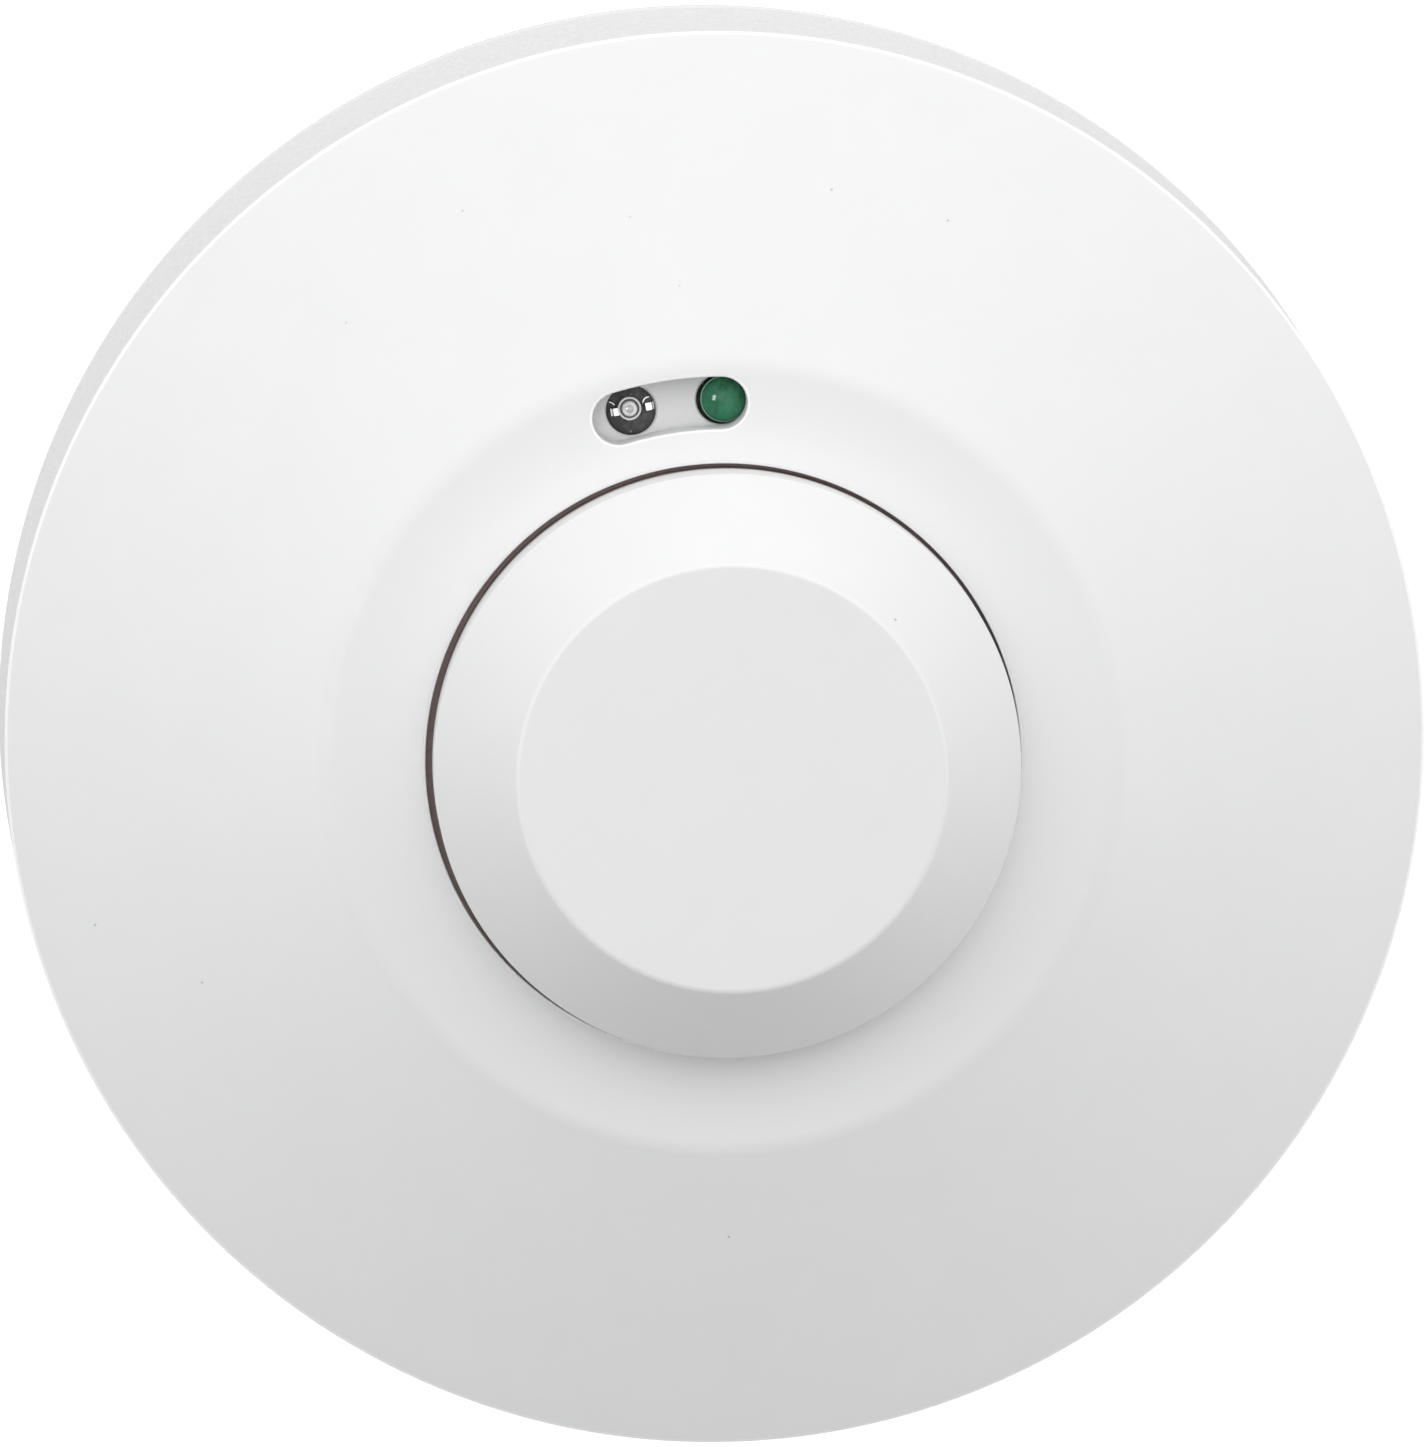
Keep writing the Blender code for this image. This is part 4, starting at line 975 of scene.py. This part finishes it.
LOCK_ANGLES = (0.0, 120.0, 240.0)
LOCK_HALF_ARC = 11.0
TWIST_ANGLE = 25.0
STOP_SLACK = 2.0
STOP_ARC = 3.0
POCKET_DEPTH = 0.9 * MM
RIM_POCKETS = 16


def stadium(half_length, half_width, steps=12):
    straight = half_length - half_width
    points = []
    for end, first in ((straight, -90.0), (-straight, 90.0)):
        middle = Vector((end, 0.0))
        points += [middle + polar(half_width, first + 180.0 * i / steps) for i in range(steps + 1)]
    return points


def base_outline():
    """A plate with a collar round the cable's hole and the upright ring that the head locks onto."""
    # Roundings.
    small = 0.3 * MM
    medium = 0.4 * MM
    collar = CABLE_HOLE_RADIUS + 1.6 * MM
    collar_top = BASE_THICKNESS + 1.6 * MM
    return round_corners(
        [
            (CABLE_HOLE_RADIUS, 0.0, medium),
            (BASE_RADIUS, 0.0, 0.2 * MM),
            (BASE_RADIUS, 0.95 * MM),
            (BASE_RADIUS, BASE_THICKNESS, 0.5 * MM),
            (LOCK_RING_OUTER, BASE_THICKNESS, medium),
            (LOCK_RING_OUTER, LOCK_RING_TOP, small),
            (LOCK_RING_INNER, LOCK_RING_TOP, small),
            (LOCK_RING_INNER, BASE_THICKNESS, medium),
            (collar, BASE_THICKNESS, medium),
            (collar, collar_top, small),
            (CABLE_HOLE_RADIUS, collar_top, small),
        ],
        steps=4,
    )


def base_additions():
    """The terminals' pads, the lock's lugs, and a stop at each end of each lug's travel."""
    parts = []
    x, y = TERMINAL_PAD_HALF_LENGTH, TERMINAL_PAD_HALF_WIDTH
    corners = [(-x, -y), (x, -y), (x, y), (-x, y)]
    pad = round_corners([(*corner, 0.8 * MM) for corner in corners], steps=4)
    for angle in TERMINAL_ANGLES:
        outline = placed(pad, TERMINAL_RADIUS, angle)
        parts.append(prism("pad", outline, BASE_THICKNESS / 2, TERMINAL_PAD_TOP))
    inner = LOCK_RING_OUTER - 1.0 * MM
    outer = LOCK_RING_OUTER + 2.2 * MM
    lug_bottom, lug_top = LOCK_RING_TOP - 2.4 * MM, LOCK_RING_TOP - 0.2 * MM
    stop_top = LOCK_RING_TOP - 2.9 * MM
    for angle in LOCK_ANGLES:
        first, last = angle - LOCK_HALF_ARC, angle + LOCK_HALF_ARC
        parts.append(prism("lug", sector(inner, outer, first, last, 0.5 * MM), lug_bottom, lug_top))
        for start in (first - STOP_SLACK - STOP_ARC, last + TWIST_ANGLE + STOP_SLACK):
            stop = sector(inner, outer, start, start + STOP_ARC, 0.4 * MM, steps=2)
            parts.append(prism("stop", stop, BASE_THICKNESS / 2, stop_top))
    return parts


def base_cuts():
    """The terminals' screw holes, the fixing slots, and the pockets between the ribs on the back."""
    parts = []
    below = -1.0 * MM
    screw_hole = 1.8 * MM
    screw_hole_bottom = 2.6 * MM
    for angle in TERMINAL_ANGLES:
        hole = placed(circle(screw_hole, steps=32), TERMINAL_RADIUS, angle)
        parts.append(prism("hole", hole, screw_hole_bottom, 2 * TERMINAL_PAD_TOP))
    slot = stadium(FIXING_SLOT_HALF_LENGTH, FIXING_SLOT_HALF_WIDTH)
    for angle in FIXING_SLOT_ANGLES:
        outline = placed(slot, FIXING_SLOT_MIDDLE, angle)
        parts.append(prism("slot", outline, below, 2 * BASE_THICKNESS))
        for first, last in ((15.0, 43.5), (46.5, 75.0)):
            pocket = sector(18.5 * MM, 42.0 * MM, angle + first, angle + last, 1.2 * MM)
            parts.append(prism("pocket", pocket, below, POCKET_DEPTH))
    rib_half_arc = 1.3
    half = 360.0 / RIM_POCKETS / 2 - rib_half_arc
    for index in range(RIM_POCKETS):
        middle = 360.0 * (index + 0.5) / RIM_POCKETS
        pocket = sector(46.5 * MM, 56.5 * MM, middle - half, middle + half, 1.0 * MM)
        parts.append(prism("pocket", pocket, below, POCKET_DEPTH))
    return parts


def on_base_foot(centre, normal):
    """Whether a face of the base is low on its outer wall, where a shadow is painted."""
    return centre.xy.length > BASE_RADIUS - 0.3 * MM and centre.z < 1.0 * MM


def make_base(material):
    mesh = turned("base_moulding", base_outline())
    mesh = shaped(mesh, "UNION", joined("added", base_additions()))
    mesh = shaped(mesh, "DIFFERENCE", joined("cuts", base_cuts()))
    mark_edges(mesh, on_base_foot)
    return show("base_moulding", mesh, material, "base", "base_plastic", "mounting_base")


# ---------------------------------------------------------------- carried-over CAD nodes
def dress_nodes(materials):
    """Gives each CAD node that stays its finished material."""
    kinds = {
        "chassis": "chassis",
        "circuit_board": "board",
        "microcontroller": "package",
        "power_supply": "package",
        "test_switch": "package",
        "relay": "relay",
        "switch_plunger": "relay",
        "capacitor": "sleeve",
        "thermistor": "bead",
        "contact_pin": "brass",
        "terminal_contact": "brass",
        "terminal_screw": "steel",
        "board_screw": "steel",
        "cover_screw": "steel",
    }
    for name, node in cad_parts.items():
        kind = next((value for key, value in kinds.items() if name.startswith(key)), None)
        if kind is None:
            continue
        node.data.materials.clear()
        node.data.materials.append(materials[kind])


# ---------------------------------------------------------------- stage
def make_floor():
    """A floor that gives off some light, so that the ground is as white as in the photo."""
    half_width = 4.0
    bm = bmesh.new()
    bmesh.ops.create_grid(bm, x_segments=1, y_segments=1, size=half_width)
    mesh = bpy.data.meshes.new("floor")
    bm.to_mesh(mesh)
    bm.free()
    floor = bpy.data.objects.new("floor", mesh)
    floor.location.z = CAD_BOX[0].z - 0.02 * MM
    bpy.context.scene.collection.objects.link(floor)
    material, tree, shader = new_material("pale_floor")
    shader.inputs["Base Color"].default_value = (*grey(0.30), 1.0)
    shader.inputs["Roughness"].default_value = 0.8
    shader.inputs["Emission Color"].default_value = (1.0, 1.0, 1.0, 1.0)
    shader.inputs["Emission Strength"].default_value = 0.95
    floor.data.materials.append(material)


SKY_BASE = (0.048, 0.050, 0.053)
# Each lobe of light: elevation and azimuth in degrees, sharpness, strength.
SKY_LOBES = (
    (20.0, 45.0, 8.0, 1.20),
    (20.0, 135.0, 8.0, 1.20),
    (30.0, 30.0, 16.0, 0.80),
    (30.0, 150.0, 16.0, 0.80),
    (80.0, 90.0, 6.0, 2.62),
)


def make_sky():
    """Soft light from both sides of the window's end and from overhead, over a faint even fill."""
    world = bpy.data.worlds.new("studio")
    bpy.context.scene.world = world
    world.use_nodes = True
    tree = world.node_tree
    output = tree.nodes["World Output"]
    background = tree.nodes["Background"]
    direction = tree.nodes.new("ShaderNodeTexCoord").outputs["Generated"]
    total = None
    for elevation, azimuth, sharpness, strength in SKY_LOBES:
        level = polar(1.0, azimuth) * math.cos(math.radians(elevation))
        height = math.sin(math.radians(elevation))
        facing = tree.nodes.new("ShaderNodeVectorMath")
        facing.operation = "DOT_PRODUCT"
        facing.inputs[1].default_value = (*level, height)
        tree.links.new(direction, facing.inputs[0])
        front = math_node(tree, "MAXIMUM", facing.outputs["Value"], 0.0)
        lobe = math_node(tree, "MULTIPLY", math_node(tree, "POWER", front, sharpness), strength)
        total = lobe if total is None else math_node(tree, "ADD", total, lobe)
    tree.links.new(total, background.inputs["Strength"])
    background.inputs["Color"].default_value = (1.0, 1.0, 1.0, 1.0)
    fill = tree.nodes.new("ShaderNodeBackground")
    fill.inputs["Color"].default_value = (*SKY_BASE, 1.0)
    both = tree.nodes.new("ShaderNodeAddShader")
    tree.links.new(background.outputs["Background"], both.inputs[0])
    tree.links.new(fill.outputs["Background"], both.inputs[1])
    tree.links.new(both.outputs["Shader"], output.inputs["Surface"])


def gloss_light(name, place, size, power, target=(0.0, 0.0, 0.03)):
    """A small softbox that shows only as a reflection, such as the spark on each indicator."""
    light = bpy.data.lights.new(name, "AREA")
    light.shape = "RECTANGLE"
    light.size, light.size_y = size
    light.energy = power
    lamp = bpy.data.objects.new(name, light)
    lamp.location = place
    lamp.rotation_mode = "QUATERNION"
    lamp.rotation_quaternion = (Vector(target) - Vector(place)).to_track_quat("-Z", "Y")
    lamp.visible_diffuse = False
    bpy.context.scene.collection.objects.link(lamp)


def make_camera():
    """The camera leans from the object's axis towards the upper left of the picture."""
    tilt, azimuth = math.radians(VIEW_TILT), math.radians(VIEW_AZIMUTH)
    sideways = Vector((math.cos(azimuth), math.sin(azimuth))) * math.sin(tilt)
    back = Vector((*sideways, math.cos(tilt)))
    turn = Vector((0.0, 0.0, 1.0)).rotation_difference(back)
    data = bpy.data.cameras.new("camera")
    data.lens = VIEW_LENS
    data.sensor_width = VIEW_SENSOR
    data.clip_start = 0.01
    data.clip_end = 20.0
    camera = bpy.data.objects.new("camera", data)
    camera.rotation_mode = "QUATERNION"
    camera.rotation_quaternion = turn
    aim = Vector((*VIEW_AIM, -VIEW_DISTANCE))
    camera.location = Vector((0.0, 0.0, RIM_HEIGHT)) - turn @ aim
    bpy.context.scene.collection.objects.link(camera)
    bpy.context.scene.camera = camera


def main():
    make_camera()
    make_floor()
    make_sky()
    gloss_light("small_softbox", place=(-0.47, 0.055, 0.99), size=(0.26, 0.20), power=7.0)
    bpy.context.scene.view_settings.view_transform = "Standard"

    materials = make_materials()
    dress_nodes(materials)
    make_front_cover(materials["front"])
    make_button(materials["cap"])
    make_return_spring(materials["steel"])
    make_shield(materials["shield"])
    make_power_led(materials["green_lens"])
    make_alarm_led(materials["collar"], materials["cup"], materials["clear_lens"])
    make_alarm_leads(materials["tin"])
    make_alarm_vias(materials["tin"])
    make_base(materials["base"])


main()
